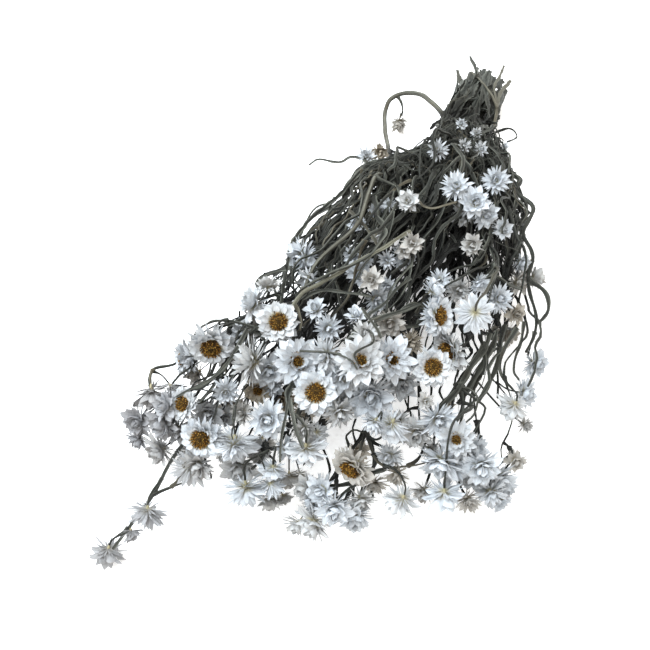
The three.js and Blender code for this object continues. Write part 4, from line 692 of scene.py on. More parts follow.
    ],
}, {
    "name": "right_low", "slot": (13, 6, 262),
    "main": [
        (494, 215, 0.38), (496, 268, 0.42), (494, 318, 0.52), (490, 358, 0.72), (484, 386, 0.85),
        (489, 402, 0.9), (480, 421, 0.9), (481, 438, 0.85), (488, 450, 0.8),
    ],
    "branches": [[(484, 330, 0.55), (478, 345, 0.8), (486, 362, 0.9), (481, 378, 0.85)]],
    "heads": [
        (478, 448, 0.9, 16, 0, 0.3, 0.9, 0.7), (512, 486, 0.9, 15, 0.4, 0.5, 0.5, 0.7),
        (485, 466, 1.15, 19, 0, 0.4, 0.9, 0.8), (494, 497, 1.1, 18, 0.1, 0.6, 0.5, 0.8),
        (472, 470, 0.8, 17, -0.2, 0.5, 0.7, 0.7), (506, 340, 0.5, 17, 0.6, 0.3, 0.5, 0.7),
    ],
}, {
    "name": "back_centre", "trim": 8, "slot": (18, 33, 236),
    "main": [
        (466, 152, 1), (457, 172, 1), (452, 195, 1), (442, 212, 0.9), (428, 226, 0.9), (418, 238, 0.9),
    ],
    "branches": [
        [(450, 190, 1), (440, 203, 1), (426, 206, 1), (414, 202, 1)],
        [(462, 165, 1), (470, 180, 1), (478, 196, 1)],
    ],
    "heads": [
        (438, 150, 1.1, 14, -0.3, 0.1, 0.9, 0.8), (461, 124, 1.1, 7, 0, 0, 1, 0.6),
        (456, 187, 1.1, 15, -0.2, -0.1, 0.9, 0.8), (474, 203, 1.1, 15, 0.1, 0, 1, 0.8),
        (484, 214, 1, 14, 0.3, 0.3, 0.9, 0.7), (464, 213, 0.95, 13, -0.2, 0.4, 0.8, 0.7),
        (408, 201, 1.05, 14, -0.1, 0, 1, 0.8), (412, 243, 1.05, 14, -0.1, 0.1, 1, 0.8),
        (404, 256, 0.9, 13, -0.3, 0.4, 0.8, 0.6),
    ],
}, {
    "name": "back_right", "slot": (24, 24, 243),
    "main": [(497, 165, 0.95), (505, 195, 0.9), (503, 235, 0.85), (502, 275, 0.85), (512, 298, 0.8)],
    "branches": [
        [(500, 97, 0, 27), (504, 87, 0, 26), (510, 81, 0, 25)],
        [(500, 205, 0.9), (512, 218, 0.95), (519, 236, 0.95), (516, 252, 0.95)],
    ],
    "heads": [
        (495, 181, 1.1, 15, 0, 0, 1, 0.9), (502, 229, 1.05, 11, 0.2, 0.2, 0.9, 0.6),
        (516, 282, 0.8, 14, 0.7, 0.1, 0.5, 0.7), (520, 262, 0.9, 11, 0.5, 0.3, 0.7, 0.5),
    ],
}]

# Strands that stand clear of the bunch, drawn through their exact places. For each: its spray, its
# number there (0 is the main stem, then the branches), its first knot that is placed, how stout it is,
# and picture places with heights. A branch is placed from its root.
COURSES = (
    ("lower_left", 0, 12, 1.0, (
        (188, 438, 36), (171, 461, 33), (153, 495, 27), (134, 521, 20), (113, 549, 13),
    )),
    ("lower_left", 1, 0, 0.55, ((153, 494, 27), (169, 488, 29), (188, 481, 32))),
    ("upper_left", 0, 3, 1.0, (
        (430, 148, 46), (408, 157, 64), (374, 162, 76), (353, 178, 81), (336, 199, 84), (311, 217, 82),
        (296, 236, 80), (290, 253, 84),
    )),
    ("upper_left", 1, 0, 0.7, (
        (190, 352, 46), (178, 363, 44), (168, 366, 44), (156, 367, 44), (149, 376, 44), (150, 389, 44),
    )),
    ("big_loop", 0, 3, 1.0, (
        (441, 112, 33), (431, 102, 33), (419, 94, 32), (405, 93, 31), (392, 98, 30), (386, 109, 30),
        (385, 128, 34), (388, 147, 46), (390, 160, 62), (388, 176, 82),
    )),
    ("big_loop", 1, 0, 0.85, ((397, 96, 30), (402, 104, 24), (403, 111, 17), (400, 117, 11))),
    ("right_edge", 0, 3, 1.0, (
        (503, 152, 41), (508, 163, 48), (512, 174, 56), (521, 180, 60), (516, 192, 62), (533, 206, 62),
        (528, 222, 62), (523, 236, 62), (531, 249, 62), (533, 259, 61), (528, 276, 58), (530, 294, 53),
        (536, 314, 48), (534, 336, 43), (526, 352, 42),
    )),
    ("right_edge", 1, 0, 1.0, (
        (530, 281, 56), (545, 292, 52), (549, 304, 48), (545, 316, 46), (536, 325, 45),
    )),
    ("right_edge", 2, 0, 0.7, ((495, 128, 22), (508, 128, 24), (517, 136, 28), (507, 142, 34))),
    ("lower_front", 0, 8, 1.25, (
        (387, 375, 18), (378, 400, 22), (367, 424, 28), (358, 444, 32), (338, 468, 38), (337, 494, 43),
    )),
    ("lower_centre", 0, 10, 0.9, ((384, 381, 40), (378, 402, 45), (368, 426, 52), (361, 446, 50))),
    ("lower_centre", 1, 0, 0.6, ((367, 434, 50), (384, 466, 50), (404, 467, 49), (425, 463, 48))),
    ("right_low", 0, 10, 0.9, (
        (474, 385, 49), (473, 402, 50), (478, 424, 46), (481, 442, 40), (487, 452, 36),
    )),
    ("right_fan", 0, 10, 0.8, (
        (500, 374, 49), (509, 390, 43), (515, 408, 36), (512, 426, 30), (504, 438, 24), (501, 450, 18),
        (502, 459, 12),
    )),
    ("right_fan", 1, 0, 0.5, ((505, 445, 24), (512, 450, 25), (516, 458, 25))),
)

# Heads that differ from their rows, by spray and number there: the picture place of the base of the
# bracts (and its height), the size over the imported one, the direction (right, down, towards the eye),
# how open it is, its age with painted shade, and the side (right, down) on which its bracts bend back.
HEADS_AS_SEEN = {
    "lower_left": {
        0: {"at": (108, 550), "size": 0.9, "axis": (-0.25, 1, -0.05), "open": 0.8, "age": 0.3},
        1: {"at": (131, 531), "size": 1.5, "axis": (0.2, 1, 0.1), "open": 0.5, "age": 0.5},
        2: {"at": (148, 510), "size": 0.9, "axis": (0, 0.9, -0.3), "open": 0.62, "age": 0.15},
        3: {"age": 0.25},
        4: {"age": 0.35},
        5: {"at": (162, 449), "size": 0.9, "axis": (-0.6, 0.5, 0.6), "open": 0.6, "age": 0.4},
    },
    "left": {
        0: {"at": (158, 444), "size": 0.8, "axis": (-0.4, 0.6, 0.6), "age": 0.45},
        2: {"at": (140, 419), "axis": (-0.35, 0.3, 0.9), "open": 0.62, "age": 0.1},
        5: {"at": (201, 438), "bend": (-0.8, 0.6)},
    },
    "upper_left": {
        1: {"size": 1.1, "axis": (-0.9, -0.1, 0.4), "open": 0.97},
        2: {"at": (211, 346), "size": 1.15, "axis": (0.1, 0.5, 0.85), "bend": (0, 1)},
        4: {"at": (152, 390), "size": 1.15, "axis": (0.2, 0.95, 0.15), "open": 0.55, "age": 0.45},
        5: {"at": (226, 391), "size": 0.75},
        6: {"size": 0.8},
    },
    "big_loop": {
        0: {"at": (399, 121, 10), "size": 2.3, "axis": (-0.2, 0.9, 0.4), "open": 0.1, "age": 0.55},
        1: {"size": 0.97},
        2: {"at": (254, 362), "size": 1.15, "axis": (-0.85, -0.2, 0.45), "open": 0.72},
        4: {"at": (297, 362), "axis": (0.3, 0, 0.95), "open": 0.915},
        5: {"size": 0.75},
        6: {"size": 0.74},
    },
    "centre_left": {
        0: {"at": (224, 452), "size": 0.7},
        1: {"at": (258, 389), "size": 0.95, "axis": (0, 0.3, 0.9), "open": 0.95, "age": 0.8},
        2: {"size": 0.9},
        4: {"size": 1.15, "axis": (-0.1, 0.6, 0.75), "open": 0.6, "age": 0.3},
        5: {"at": (245, 487), "size": 0.95, "axis": (-0.05, 0.95, -0.2)},
        6: {"at": (273, 468), "size": 0.68, "axis": (-0.1, 0.9, -0.35)},
        7: {"size": 0.85, "age": 0.35},
    },
    "centre": {
        0: {"at": (334, 408), "size": 0.75, "age": 0.6},
        1: {"at": (306, 448), "size": 0.82, "axis": (0, 0.88, -0.35)},
        4: {"at": (343, 400), "size": 0.9, "axis": (0, 0.5, 0.8), "open": 0.95, "age": 0.8},
        5: {"size": 1.5, "age": 0.3},
        6: {"at": (289, 475)},
        7: {"size": 0.85},
    },
    "tangle_left": {
        0: {"at": (304, 256), "size": 1.3, "axis": (-0.6, 0.4, 0.55)},
        4: {"size": 0.8},
        6: {"size": 0.62},
        7: {"size": 0.8},
    },
    "crown": {
        0: {"at": (330, 352), "size": 0.6, "age": 0.85},
        2: {"at": (361, 361), "size": 0.95, "axis": (0.1, -0.1, 1), "open": 0.92},
        4: {"at": (391, 359), "size": 0.95, "axis": (0.15, 0.1, 1), "open": 0.912},
        6: {"size": 0.7},
        7: {"size": 0.85},
        8: {"size": 0.75, "age": 0.45},
        9: {"size": 0.9, "age": 0.5},
    },
    "centre_right": {
        0: {"at": (447, 405), "size": 0.5, "age": 0.7},
        1: {"size": 0.8, "age": 0.75},
        3: {"size": 0.5, "age": 0.35},
        4: {"age": 0.3},
        6: {"age": 0.4},
    },
    "right_crown": {
        0: {"at": (437, 316), "axis": (0.7, 0, 0.65)},
        1: {"at": (450, 350), "size": 1.1, "axis": (-0.75, 0.3, 0.6), "bend": (-1, 0.3)},
        2: {"at": (475, 313), "size": 0.8},
        3: {"size": 0.85, "age": 0.3},
        5: {"size": 0.8},
    },
    "right_edge": {
        1: {"at": (532, 278), "size": 1.3, "axis": (0.95, -0.15, 0.1), "open": 0.3, "age": 0.4},
        2: {"size": 0.7, "age": 0.65},
    },
    "right_fan": {
        0: {"size": 0.7, "age": 0.3},
        1: {"at": (514, 405), "size": 0.85},
        2: {"at": (522, 393), "size": 0.85},
        3: {"at": (514, 460), "size": 0.7, "age": 0.5},
        5: {"at": (499, 500), "size": 0.75},
    },
    "lower_centre": {
        0: {"size": 0.8, "age": 0.55},
        1: {"at": (430, 448), "size": 0.7},
        2: {"at": (391, 424), "size": 0.85, "axis": (-0.45, 0.8, -0.3)},
        3: {"at": (390, 455), "size": 0.75, "age": 0.15},
        4: {"at": (352, 466), "axis": (-0.45, 0.6, 0.65), "bend": (-0.9, 0.5), "age": 0.5},
        5: {"size": 0.8, "age": 0.6},
        6: {"at": (402, 499), "size": 0.8, "axis": (-0.4, 0.8, -0.3), "age": 0.2},
        7: {"at": (361, 498), "size": 0.75, "age": 0.3},
    },
    "lower_front": {
        0: {"at": (314, 505), "size": 0.8},
        1: {"at": (314, 521), "size": 0.88, "age": 0.25},
        3: {"at": (354, 514)},
        5: {"at": (357, 450), "size": 0.85, "age": 0.65},
    },
    "lower_right": {
        0: {"at": (441, 460), "size": 0.9, "open": 0.75},
        1: {"at": (444, 493), "size": 0.8, "axis": (0, 0.9, -0.3)},
        2: {"at": (457, 439), "size": 0.85, "axis": (-0.3, 0.1, 0.95), "open": 0.93, "age": 0.12},
        3: {"at": (467, 498), "size": 1.3, "age": 0.5},
        4: {"at": (424, 490), "size": 0.8},
    },
    "right_low": {
        0: {"at": (473, 448), "size": 0.85},
        1: {"at": (502, 485), "size": 0.95},
        2: {"at": (480, 465)},
        3: {"at": (490, 491), "size": 0.9},
        5: {"at": (506, 334), "size": 0.85, "age": 0.6},
    },
    "back_centre": {
        0: {"at": (438, 150), "size": 0.85, "axis": (-0.3, 0.1, 0.9), "open": 0.8, "age": 0.1},
        6: {"at": (408, 201), "size": 0.8, "axis": (-0.1, 0, 1), "open": 0.8, "age": 0.25},
        7: {"at": (412, 243), "size": 0.75, "axis": (-0.1, 0.1, 1), "open": 0.7, "age": 0.45},
    },
}

# Small heads deep in the bunch: spray, picture place and height, width, direction, and age with painted
# shade. They have fewer bracts than others, are half open and hang low in the heap.
SMALL_FEWER, SMALL_OPEN, SMALL_SHARE = 0.6, 0.6, 0.8
SMALL_HEADS = (
    ("back_centre", (464, 146, 94), 8.5, (-0.2, 0.1, 1), 0.2),
    ("back_centre", (480, 149, 90), 9.0, (0.2, 0.2, 0.9), 0.1),
    ("back_centre", (476, 134, 80), 7.5, (0.1, 0, 1), 0.2),
    ("upper_left", (367, 157, 74), 12.0, (-0.3, -0.2, 0.9), 0.1),
    ("upper_left", (379, 152, 66), 11.0, (0.2, 0.5, 0.8), 0.8),
    ("tangle_left", (310, 278, 82), 13.0, (-0.4, 0.6, 0.6), 0.1),
    ("tangle_left", (377, 236, 92), 9.0, (0.3, 0.5, 0.8), 0.3),
    ("crown", (389, 204, 96), 8.0, (-0.3, 0, 0.9), 0.1),
    ("crown", (404, 250, 96), 9.0, (0, 0.3, 0.9), 0.4),
    ("left", (198, 372, 36), 16.0, (-0.6, 0.5, 0.6), 0.6),
    ("left", (178, 429, 38), 16.0, (0.1, 0.5, 0.8), 0.3),
    ("left", (232, 403, 30), 15.0, (0, 0.6, 0.8), 0.6),
    ("centre_left", (284, 397, 30), 17.0, (0, 0.5, 0.8), 0.8),
    ("centre_left", (262, 440, 26), 15.0, (-0.1, 0.8, 0.5), 0.5),
    ("centre", (300, 411, 34), 16.0, (0.2, 0.6, 0.7), 0.7),
    ("lower_front", (299, 522, 26), 14.0, (-0.5, 0.7, 0.5), 0.3),
)


def chance(seed):
    """A share from 0 to 1 that looks drawn at random and is the same each time."""
    wave = np.sin(np.asarray(seed, float) * 12.9898) * 43758.5453
    return wave - np.floor(wave)


def stray(seed):
    """A share from -0.5 to 0.5, drawn in the same way."""
    return chance(seed) - 0.5


def wave(place, length, seed):
    """Sine wave of a length along places, which starts at a random point of its turn."""
    return np.sin(2 * np.pi * (place / length + chance(seed)))


def unit(vectors):
    """Vectors divided by their lengths."""
    lengths = np.linalg.norm(vectors, axis=-1, keepdims=True)
    return vectors / np.maximum(lengths, 1e-9)


def along_rows(length, lengths, rows):
    """XYZ at lengths along rows of it, straight from row to row."""
    return np.stack([np.interp(length, lengths, rows[:, axis]) for axis in range(3)], -1)


def head_values(strands, name):
    """A value of the heads of strands, as an array."""
    return np.array([strand.head[name] for strand in strands], float)


EYE_BACK = np.array([
    np.sin(EYE_TURN) * np.cos(EYE_TILT),
    -np.cos(EYE_TURN) * np.cos(EYE_TILT),
    np.sin(EYE_TILT),
])
EYE_RIGHT = np.array([np.cos(EYE_TURN), np.sin(EYE_TURN), 0.0])
EYE_UP = np.cross(EYE_BACK, EYE_RIGHT)
UP = np.array([0.0, 0.0, 1.0])


def add_turned(data, place, right, back):
    """Object of a camera or a lamp at a place, turned by what lies to its right and behind it."""
    turned = bpy.data.objects.new(data.name, data)
    axes = Matrix(np.column_stack([right, np.cross(back, right), back]).tolist())
    turned.matrix_world = Matrix.LocRotScale(place.tolist(), axes, None)
    bpy.context.collection.objects.link(turned)
    return turned


def add_camera():
    """Camera at the eye, looking down its sight, with the picture's focal length."""
    data = bpy.data.cameras.new("camera")
    data.sensor_width = SENSOR
    data.lens = SENSOR * EYE_FOCUS / PICTURE_SIZE
    bpy.context.scene.camera = add_turned(data, (EYE - MIDDLE) * MM, EYE_RIGHT, EYE_BACK)


# Strands of the sprays


@dataclass
class Strand:
    """A stem, branch, shoot or stalk: a row of knots that may hang on a host by its root."""

    spray: int
    kind: str
    knots: np.ndarray
    root: tuple = None
    resting: np.ndarray = None
    taken: list = field(default_factory=list)
    head: dict = None
    trim: float = 0.0
    calm: bool = False
    stout: float = 1.0

    def lengths(self):
        """Length along the strand at each knot."""
        steps = np.linalg.norm(np.diff(self.knots, axis=0), axis=1)
        return np.concatenate([[0.0], np.cumsum(steps)])

    def half_widths(self):
        """Half width at each knot."""
        start, end = WIDTHS[self.kind]
        return np.linspace(start, end, len(self.knots))

    def along(self, length):
        """Points at lengths along the strand."""
        return along_rows(length, self.lengths(), self.knots)

    def nearest(self, place):
        """Length along the strand of its point nearest to a place, and the distance.

        Each straight step is tried at the share of it where the place stands square to it.
        """
        start, step = self.knots[:-1], np.diff(self.knots, axis=0)
        share = np.clip(((place - start) * step).sum(1) / (step * step).sum(1), 0, 1)
        distance = np.linalg.norm(start + share[:, None] * step - place, axis=1)
        best = int(np.argmin(distance))
        lengths = self.lengths()
        return lengths[best] + share[best] * (lengths[best + 1] - lengths[best]), distance[best]

    def tie(self, length):
        """Tie for a root at a length: the host, the number of the knot past it and its share."""
        lengths = self.lengths()
        left = min(length, lengths[-1] - ROOT_SINK)
        knot = min(int(np.searchsorted(lengths[1:], left)) + 1, len(lengths) - 1)
        share = np.clip((left - lengths[knot - 1]) / (lengths[knot] - lengths[knot - 1]), 0, 1)
        return self, knot, share


def tied_place(tie):
    """Where a tie holds its root."""
    host, knot, share = tie
    return host.knots[knot - 1] + share * (host.knots[knot] - host.knots[knot - 1])


def nearest_host(hosts, place):
    """Nearest of the hosts to a place, the length along it and the distance."""
    found = [host.nearest(place) for host in hosts]
    best = int(np.argmin([distance for _, distance in found]))
    return hosts[best], *found[best]


def heap_tops(x, y):
    """Height of the heap over places: its ridge there, rounded off to its sides as a half circle."""
    ridge, middle, half = (np.interp(y, HEAP[:, 0], HEAP[:, column]) for column in (1, 2, 3))
    across = np.minimum(1.0, np.abs(x - middle) / half)
    return np.maximum(HEAP_LOWEST, ridge * np.sqrt(1 - across * across))


def sight(u, v, height):
    """Place at a height on the sight line through a picture place.

    The line leaves the eye ahead, with the shares of the focal length that the place is right and down.
    """
    across, down = (u - PICTURE_MIDDLE) / EYE_FOCUS, (v - PICTURE_MIDDLE) / EYE_FOCUS
    line = EYE_RIGHT * across - EYE_UP * down - EYE_BACK
    return EYE + line * (height - EYE[2]) / line[2]


def seen_way(right, down, toward):
    """Direction given as right, down and towards the eye in the picture."""
    return unit(EYE_RIGHT * right - EYE_UP * down + EYE_BACK * toward)


def spot(u, v, share, lift=0.0):
    """Place where a sight line meets a share of the heap's height, raised by a lift, by halving."""
    low, high = 0.0, SIGHT_TOP
    for _ in range(SIGHT_STEPS):
        middle = (low + high) / 2
        place = sight(u, v, middle)
        if middle > share * heap_tops(place[0], place[1]) + lift:
            high = middle
        else:
            low = middle
    return sight(u, v, low)


def wander(knots, seed, size):
    """Knots with a small shift of each but the first and the last."""
    moved = np.array(knots, float)
    inner = np.arange(1, len(moved) - 1)
    moved[1:-1] += stray(seed + inner[:, None] * 7 + np.arange(1, 4)) * size
    return moved


def refine(knots):
    """Knots with one more in the middle of each long step."""
    fine = [knots[0]]
    for before, knot in zip(knots, knots[1:]):
        if np.linalg.norm(knot - before) >= STEP_MOST:
            fine.append((before + knot) / 2)
        fine.append(knot)
    return np.array(fine)


def main_stem(spray, number):
    """Main stem: side by side with the others through the neck, then its own way."""
    slot_x, slot_z, cut_y = spray["slot"]
    across = (slot_x - NECK_MIDDLE_X) * NECK_PACKING
    neck = [
        (NECK_MIDDLE_X + across * NECK_SPREAD, cut_y, slot_z),
        (NECK_MIDDLE_X + across, (cut_y + NECK_INNER_Y) / 2, slot_z),
        (NECK_MIDDLE_X + across, NECK_INNER_Y, slot_z),
    ]
    route = refine(np.array([spot(*row) for row in spray["main"]]))
    knots = np.vstack([neck, wander(route, number * 100, WANDER * 2)])
    low, high = spray.get("rest", (0, 0))
    resting = (knots[:, 1] > low) & (knots[:, 1] < high)
    return Strand(number, "main", knots, resting=resting, trim=spray.get("trim", 0.0))


def branch(main, rows, number, turn):
    """Branch that leaves the main stem at its nearest point and follows its own places."""
    knots = np.array([spot(*row) for row in rows])
    root = main.tie(main.nearest(knots[0])[0])
    knots[0] = tied_place(root)
    return Strand(number, "branch", wander(knots, number * 100 + 40 + turn * 9, WANDER / 2), root)


def shoot(main, spray, number, turn):
    """Long shoot that parts from the main stem and runs beside it.

    Its knots are points of the main stem, moved sideways by the square root of the way times a swing,
    plus a random shift that grows with the way.
    """
    seed = number * 100 + 60 + turn * 17
    whole = main.lengths()[-1]
    bare = spray.get("bare", 0.0)
    parting = SHOOT_ROOT + SHOOT_ROOT_STEP * turn + SHOOT_ROOT_RANGE * chance(seed)
    start = whole * (bare + (1 - bare) * parting)
    end = whole * (SHOOT_REACH + SHOOT_REACH_RANGE * chance(seed + 1))
    root = main.tie(start)
    inward = np.sign(NECK_MIDDLE_X - main.along((start + end) / 2)[0])
    outer = SHOOT_OUTWARD if turn == 1 and not spray.get("edge") else 1.0
    size = SHOOT_SWING_LEAST + SHOOT_SWING_RANGE * chance(seed + 2)
    step = np.arange(SHOOT_STEPS + 1)
    share = np.where(step == 1, SHOOT_FIRST, step / SHOOT_STEPS)
    loose = 2 * WANDER * share
    knots = main.along(start + share * (end - start))
    knots[:, 0] += np.sqrt(share) * SHOOT_SWING * inward * outer * size
    knots[:, 0] += stray(seed + step * 3 + 3) * loose
    knots[:, 1] += stray(seed + step * 3 + 4) * loose
    knots[:, 2] += (chance(seed + step * 3 + 5) - SHOOT_RISE) * np.minimum(2 * WANDER, 2 * loose)
    knots[0] = tied_place(root)
    return Strand(number, "shoot", knots, root)


def stalk_and_head(hosts, spray, number, row, turn):
    """Head and the stalk that carries it, from the nearest of the spray's hosts.

    The stalk parts from its host some way back and runs beside it, moved towards the head by a power of
    the way. Its last part is straight along the head's axis.
    """
    u, v, share, width, right, down, toward, opened = row
    seed = number * 100 + turn * 13 + 5
    axis = seen_way(right, down, toward)
    base = spot(u, v, share) - axis * HEAD_BASE * width
    back = base - axis * STALK_STRAIGHT
    host, end, _ = nearest_host(hosts, back)
    back_length = (STALK_BACK_LEAST + STALK_BACK_RANGE * chance(seed)) * spray.get("sparse", 1.0)
    start = max(STALK_FIRST_PART * end, end - back_length)
    while any(abs(one - start) < ROOT_SPACING for one in host.taken) and start > ROOT_SPACING:
        start -= ROOT_SPACING / 3
    host.taken.append(start)
    shares = np.array(STALK_SHARES)
    apart = back - host.along(end)
    run = host.along(start + shares * (end - start)) + apart * shares[:, None] ** STALK_SWING
    loose = WANDER * min(1.0, (end - start) / STALK_BACK_LEAST)
    knots = wander(np.vstack([run, base]), seed, loose)
    knots[-2] = back
    head = {"axis": axis, "width": width, "open": opened, "seed": seed, "share": share, "seen": (u, v)}
    return Strand(number, "stalk", knots, host.tie(start), head=head)


def grow_spray(spray, number):
    """All the strands of a spray, hosts before what grows on them."""
    main = main_stem(spray, number)
    branches = [branch(main, rows, number, turn) for turn, rows in enumerate(spray["branches"])]
    shoots = [shoot(main, spray, number, turn) for turn in range(SHOOTS)]
    hosts = [main, *branches, *shoots]
    stalks = [stalk_and_head(hosts, spray, number, row, turn) for turn, row in enumerate(spray["heads"])]
    return hosts + stalks


def place_heads(strands):
    """Sets heads on their sight lines, at the heights where the clearing left them.

    The middle of a head moves to the point of its sight line at its own height, but no farther than
    HEAD_SHIFT_MOST. A stalk's knots follow by their share of the way from its root.
    """
    turns = {}
    for strand in strands:
        if not strand.head:
            continue
        head = strand.head
        turn = turns.get(strand.spray, 0)
        turns[strand.spray] = turn + 1
        middle = strand.knots[-1] + head["axis"] * (HEAD_BASE * head["width"])
        change = HEADS_AS_SEEN.get(SPRAYS[strand.spray]["name"], {}).get(turn, {})
        if "axis" in change:
            head["axis"] = seen_way(*change["axis"])
        if "bend" in change:
            head["bend"] = seen_way(*change["bend"], 0)
        if "age" in change:
            head["age"] = change["age"]
        head["seen"] = change.get("at", head["seen"])
        head["open"] = change.get("open", head["open"])
        head["width"] *= change.get("size", 1.0)
        head["bare"] = float(np.clip((head["open"] - BARE_FROM) / (1 - BARE_FROM), 0, 1))
        head["bare"] *= float(head["axis"] @ EYE_BACK > 0)
        shift = sight(*(*head["seen"], middle[2])[:3]) - MIDDLE - middle
        shift = shift * min(1.0, HEAD_SHIFT_MOST / max(np.linalg.norm(shift), 1e-6))
        base = middle + shift - head["axis"] * (HEAD_BASE * head["width"])
        share = np.linspace(0, 1, len(strand.knots))[:, None]
        strand.knots = strand.knots + (base - strand.knots[-1]) * share
        strand.knots[-2] = base - head["axis"] * STALK_STRAIGHT


def follow_courses(strands):
    """Draws clear strands through their exact places, and short stalks for the heads on them.

    A stalk is then the cubic that leaves its host along it and reaches its head along the head's axis.
    """
    clear = []
    for name, place, first, stout, rows in COURSES:
        number = [spray["name"] for spray in SPRAYS].index(name)
        strand = [strand for strand in strands if strand.spray == number][place]
        strand.knots[first:first + len(rows)] = np.array([sight(*row) for row in rows]) - MIDDLE
        strand.calm, strand.stout = True, stout
        clear.append(strand)
        if strand.root:
            host = strand.root[0]
            strand.root = host.tie(host.nearest(strand.knots[0])[0])
    for strand in strands:
        if strand.head and any(strand.root[0] is other for other in clear):
            base, axis = strand.knots[-1], strand.head["axis"]
            near = [other for other in clear if other.spray == strand.spray]
            host, _, distance = nearest_host(near, base)
            hang = SHORT_STALK if distance > LEAST_STALK else LEAST_STALK
            start = host.nearest(base - axis * hang / 2)[0] - hang
            start = float(np.clip(start, ROOT_SINK, host.lengths()[-1] - ROOT_SINK))
            way = unit(host.along(start + 1) - host.along(start))
            root = host.along(start)
            reach = np.linalg.norm(base - root) / 3
            share = np.linspace(0, 1, len(strand.knots))[:, None]
            near, far = root + way * reach, base - axis * reach
            strand.knots = root * (1 - share) ** 3 + near * 3 * share * (1 - share) ** 2
            strand.knots = strand.knots + far * 3 * share**2 * (1 - share) + base * share**3
            strand.root = host.tie(start)
            strand.calm = True
    for strand in strands:
        if strand.kind == "main" and SPRAYS[strand.spray].get("smooth"):
            strand.kind = "smooth"


def small_head(hosts, number, turn, place, width, way, age):
    """Small head at a picture place and height, on a short twig from the nearest of the hosts.

    The twig's knots are its root, a point just behind the middle of the way, and two on the axis.
    """
    seed = number * 97 + turn * 19 + 3
    axis = seen_way(*way)
    base = sight(*place) - MIDDLE - axis * HEAD_BASE * width
    host, length, _ = nearest_host(hosts, base - axis * SHORT_STALK)
    root = host.tie(length)
    start = tied_place(root)
    knots = np.array([start, (start + base) / 2 - axis * TWIG_BEND, base - axis * TWIG_END, base])
    head = {
        "axis": axis, "width": width, "open": SMALL_OPEN, "seed": seed, "share": SMALL_SHARE, "bare": 0.0,
        "seen": place[:2], "age": age, "fewer": SMALL_FEWER,
    }
    return Strand(number, "twig", knots, root, head=head)


def nearest_shares(a, b, c, d):
    """Nearest points of segments a-b and c-d, as shares along each, for whole arrays of them."""
    first, second, between = b - a, d - c, a - c
    aa = np.maximum((first * first).sum(1), 1e-9)
    bb = np.maximum((second * second).sum(1), 1e-9)
    ab = (first * second).sum(1)
    ac = (first * between).sum(1)
    bc = (second * between).sum(1)
    spread = aa * bb - ab * ab
    s = np.where(spread > 1e-9, np.clip((ab * bc - ac * bb) / np.maximum(spread, 1e-9), 0, 1), 0.0)
    t = np.clip((ab * s + bc) / bb, 0, 1)
    return np.clip((ab * t - ac) / aa, 0, 1), t


